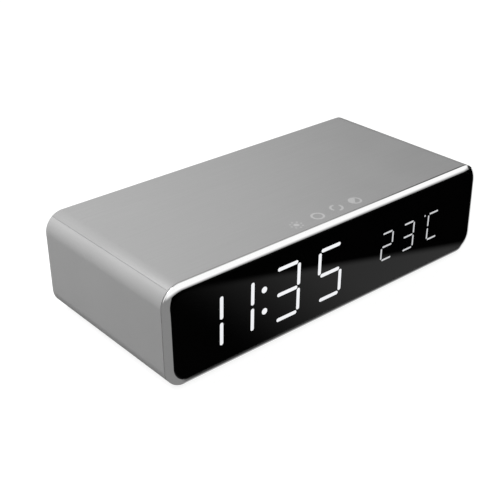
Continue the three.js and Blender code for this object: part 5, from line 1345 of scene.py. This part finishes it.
# The backup cell: a black holder screwed over the battery bay, a steel coin cell with a crimped
# rim and a pressed plus sign on the face behind the door, and two sprung steel contacts.

CELL_CRIMP = 0.4 * MM
CELL_EASING = 0.2 * MM
TURNING_PITCH = 0.35 * MM
TURNING_DEPTH = 0.002 * MM
PLUS_BAR = (3.4 * MM, 0.9 * MM, 0.05 * MM)
PLUS_FROM_AXIS = 0.45  # of the cell's radius

finished("cell_holder", dark_plastic, "black_plastic", edge=0.12 * MM)
cell_look = {"roughness": 0.26, "grain": 0.5 * MM, "drift": 0.03, "metallic": 1.0}
cell_steel, tree, shader, colour, _ = surfaced("cell_steel", "#BDBFC1", **cell_look)
cell_foot, radius, height = measured("coin_cell")
from_axis = on_vectors(tree, "SUBTRACT", place_in(tree), cell_foot)
turned_radius = on_vectors(tree, "LENGTH", on_vectors(tree, "MULTIPLY", from_axis, (1, 1, 0)))
turning = times(tree, turned_radius, 2 * math.pi / TURNING_PITCH)
dressed(tree, shader, colour, calculate(tree, "SINE", turning), TURNING_DEPTH)
cell_corners = [
    (0, 0),
    (radius - CELL_CRIMP, 0),
    (radius, CELL_CRIMP),
    (radius, height - 2 * CELL_CRIMP),
    (radius - 2 * CELL_CRIMP, height - CELL_CRIMP),
    (radius - 3 * CELL_CRIMP, height),
    (0, height),
]
cell = lathe("coin_cell_can", cell_corners, CELL_EASING, cell_foot, cell_steel, steps=96)
belongs(cell, "cell_steel", "coin_cell")
plus_sizes = {
    "Count": 1,
    "Rows": 4,
    "Offset": PLUS_BAR[0] / 4,
    "Block": (PLUS_BAR[1], PLUS_BAR[0] / 2, PLUS_BAR[2]),
    "Material": cell_steel,
}
plus_place = cell_foot + Vector((0, PLUS_FROM_AXIS * radius, 0))
belongs(grown("cell_plus_sign", rows, plus_sizes, [plus_place]), "cell_steel")
spring_steel = moulded("spring_steel", "#B7B4AC", roughness=0.3, grain=0.6 * MM, **POLISHED)
for pole in ("negative", "positive"):
    finished(f"cell_contact_{pole}", spring_steel, "contact_steel", edge=0.05 * MM)


# Three flat cables, each with its conductors showing as ridges under a pale sheath, with painted shade in
# the grooves between them, and one red edge that marks the first.

# painted shade: the sheath's colour darkens in the grooves between ridges, down to the first factor below
RIDGE_FLANK = (0.0, 0.5)  # the height, of a ridge's own, over which its shade grows
RIDGE_PAINTED_SHADE = (0.7, 1.0)
RIDGE_DEPTH = 0.25 * MM


def ribbon_material(name, cad_name, pitch):
    """A ribbon that is as wide as the CAD node, with ridges along it at the given pitch and painted shade
    in the grooves between them.
    """
    look = {"roughness": 0.45, "grain": 0.3 * MM, "drift": 0.04}
    material, tree, shader, colour, _ = surfaced(name, "#D2D1CA", **look)
    across = apart(tree, place_in(tree))["X"]
    from_edge = calculate(tree, "SUBTRACT", across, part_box(cad_name)[0].x)
    phase = times(tree, from_edge, math.pi / pitch)
    ridge = calculate(tree, "ABSOLUTE", calculate(tree, "SINE", phase))
    # the colour is darkened in the grooves between conductors: painted shade
    shaded = scaled(tree, colour, graded(tree, ridge, *RIDGE_FLANK, *RIDGE_PAINTED_SHADE))
    first = calculate(tree, "LESS_THAN", from_edge, pitch)
    dressed(tree, shader, painted(tree, first, shaded, "#A83A34"), ridge, RIDGE_DEPTH)
    return material


for label, pitch in (("display", 1 * MM), ("touch", 1 * MM), ("cell", 1.5 * MM)):
    ribbon = ribbon_material(f"{label}_ribbon", f"{label}_cable", pitch)
    finished(f"{label}_cable", ribbon, "cable_sheath", edge=0.1 * MM)


# The screws: zinc-plated, with pan heads, cross recesses and rolled threads. Each kind's blank is
# turned, and one rule cuts the recess, winds the thread and sets a screw at each place.

RECESS = (1.15, 0.24)  # its length and width, of the head's radius
THREAD_MIDDLE = 0.85  # of the shank's radius, like its ridge
THREAD_RIDGE = 0.15
RIDGE_SIDES = 4
SHANK_CORE = 0.8  # of the shank's radius
POINT = 1.5  # the length of the screw's point, of its core's radius
HEAD_FLAT = 0.8  # of the head's radius, like its easing
HEAD_EASING = 0.1
HEAD_CROWN = 0.5  # of the head's height


def screw_tree():
    """A threaded and recessed copy of a turned blank at each point. The blank's shank goes up."""
    tree, given = socketed_tree(
        "machine_screws",
        Object=["Blank"],
        Float=["Head", "Head Height", "Shank", "Length", "Thread Pitch"],
        Vector=["Turn"],
    )
    head_height, shank = given["Head Height"], given["Shank"]
    arm, width = (times(tree, given["Head"], part) for part in RECESS)
    sunk = combined(tree, z=times(tree, head_height, -1.0))
    slots = []
    for size_x, size_y in ((arm, width), (width, arm)):
        size = combined(tree, size_x, size_y, head_height)
        slots.append(moved(tree, form(tree, "MeshCube", {"Size": size}), sunk))
    blank = form(tree, "ObjectInfo", {"Object": given["Blank"]}, "Geometry")
    cut = {"Mesh 1": blank, "Mesh 2": joined(tree, slots), "Self Intersection": True}
    recessed = form(tree, "MeshBoolean", cut, solver="EXACT")
    run = calculate(tree, "MULTIPLY_ADD", shank, -2.0, given["Length"])
    crest = times(tree, shank, THREAD_MIDDLE)
    helix = {
        "Resolution": 20,
        "Rotations": calculate(tree, "DIVIDE", run, given["Thread Pitch"]),
        "Start Radius": crest,
        "End Radius": crest,
        "Height": run,
    }
    raised = moved(tree, form(tree, "CurveSpiral", helix), combined(tree, z=shank))
    ridge = circle(tree, times(tree, shank, THREAD_RIDGE), RIDGE_SIDES)
    screw = joined(tree, (recessed, swept(tree, raised, ridge, caps=True)))
    return set_out(tree, given, screw, Rotation=given["Turn"])


CASE_SCREW = {"Head": 2.7 * MM, "Head Height": 1.8 * MM, "Shank": 1.4 * MM, "Thread Pitch": 0.8 * MM}
SMALL_SCREW = {"Head": 2.0 * MM, "Head Height": 1.3 * MM, "Shank": 0.9 * MM, "Thread Pitch": 0.6 * MM}
HEAD_DOWN = (0, 0, 0)
HEAD_UP = (math.pi, 0, 0)
SCREWS = (
    ("case", 4, CASE_SCREW, HEAD_DOWN),
    ("carrier", 4, SMALL_SCREW, HEAD_DOWN),
    ("board", 4, SMALL_SCREW, HEAD_UP),
    ("holder", 2, SMALL_SCREW, HEAD_UP),
    ("display", 4, SMALL_SCREW, FACING_REAR),
    ("rear", 2, SMALL_SCREW, FACING_REAR),
)

zinc = moulded("zinc_plated", "#AEB2B6", roughness=0.32, grain=0.3 * MM, **POLISHED)
machine_screws = screw_tree()
for kind, count, sizes, turn in SCREWS:
    head, head_height, core = sizes["Head"], sizes["Head Height"], SHANK_CORE * sizes["Shank"]
    names = [f"{kind}_screw_{i}" for i in range(1, count + 1)]
    axis = "y" if turn == FACING_REAR else "z"
    seats = []
    for low, high in [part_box(name) for name in names]:
        seat = (low + high) / 2
        under_head = getattr(high, axis) - head_height
        if turn == HEAD_DOWN:
            under_head = low.z + head_height
        setattr(seat, axis, under_head)
        seats.append(seat)
    length = getattr(high, axis) - getattr(low, axis) - head_height
    blank_corners = [
        (0, -head_height),
        (HEAD_FLAT * head, -head_height),
        (head, -HEAD_CROWN * head_height),
        (head, 0),
        (core, 0),
        (core, length - POINT * core),
        (0, length),
    ]
    easing = HEAD_EASING * head
    blank = lathe(f"{kind}_screw_blank", blank_corners, easing, Vector(), zinc, steps=32)
    settings = {**sizes, "Blank": blank, "Length": length, "Turn": turn, "Material": zinc}
    screws = grown(f"{kind}_screws", machine_screws, settings, seats)
    bpy.data.objects.remove(blank)
    belongs(screws, "screw_steel", *names)
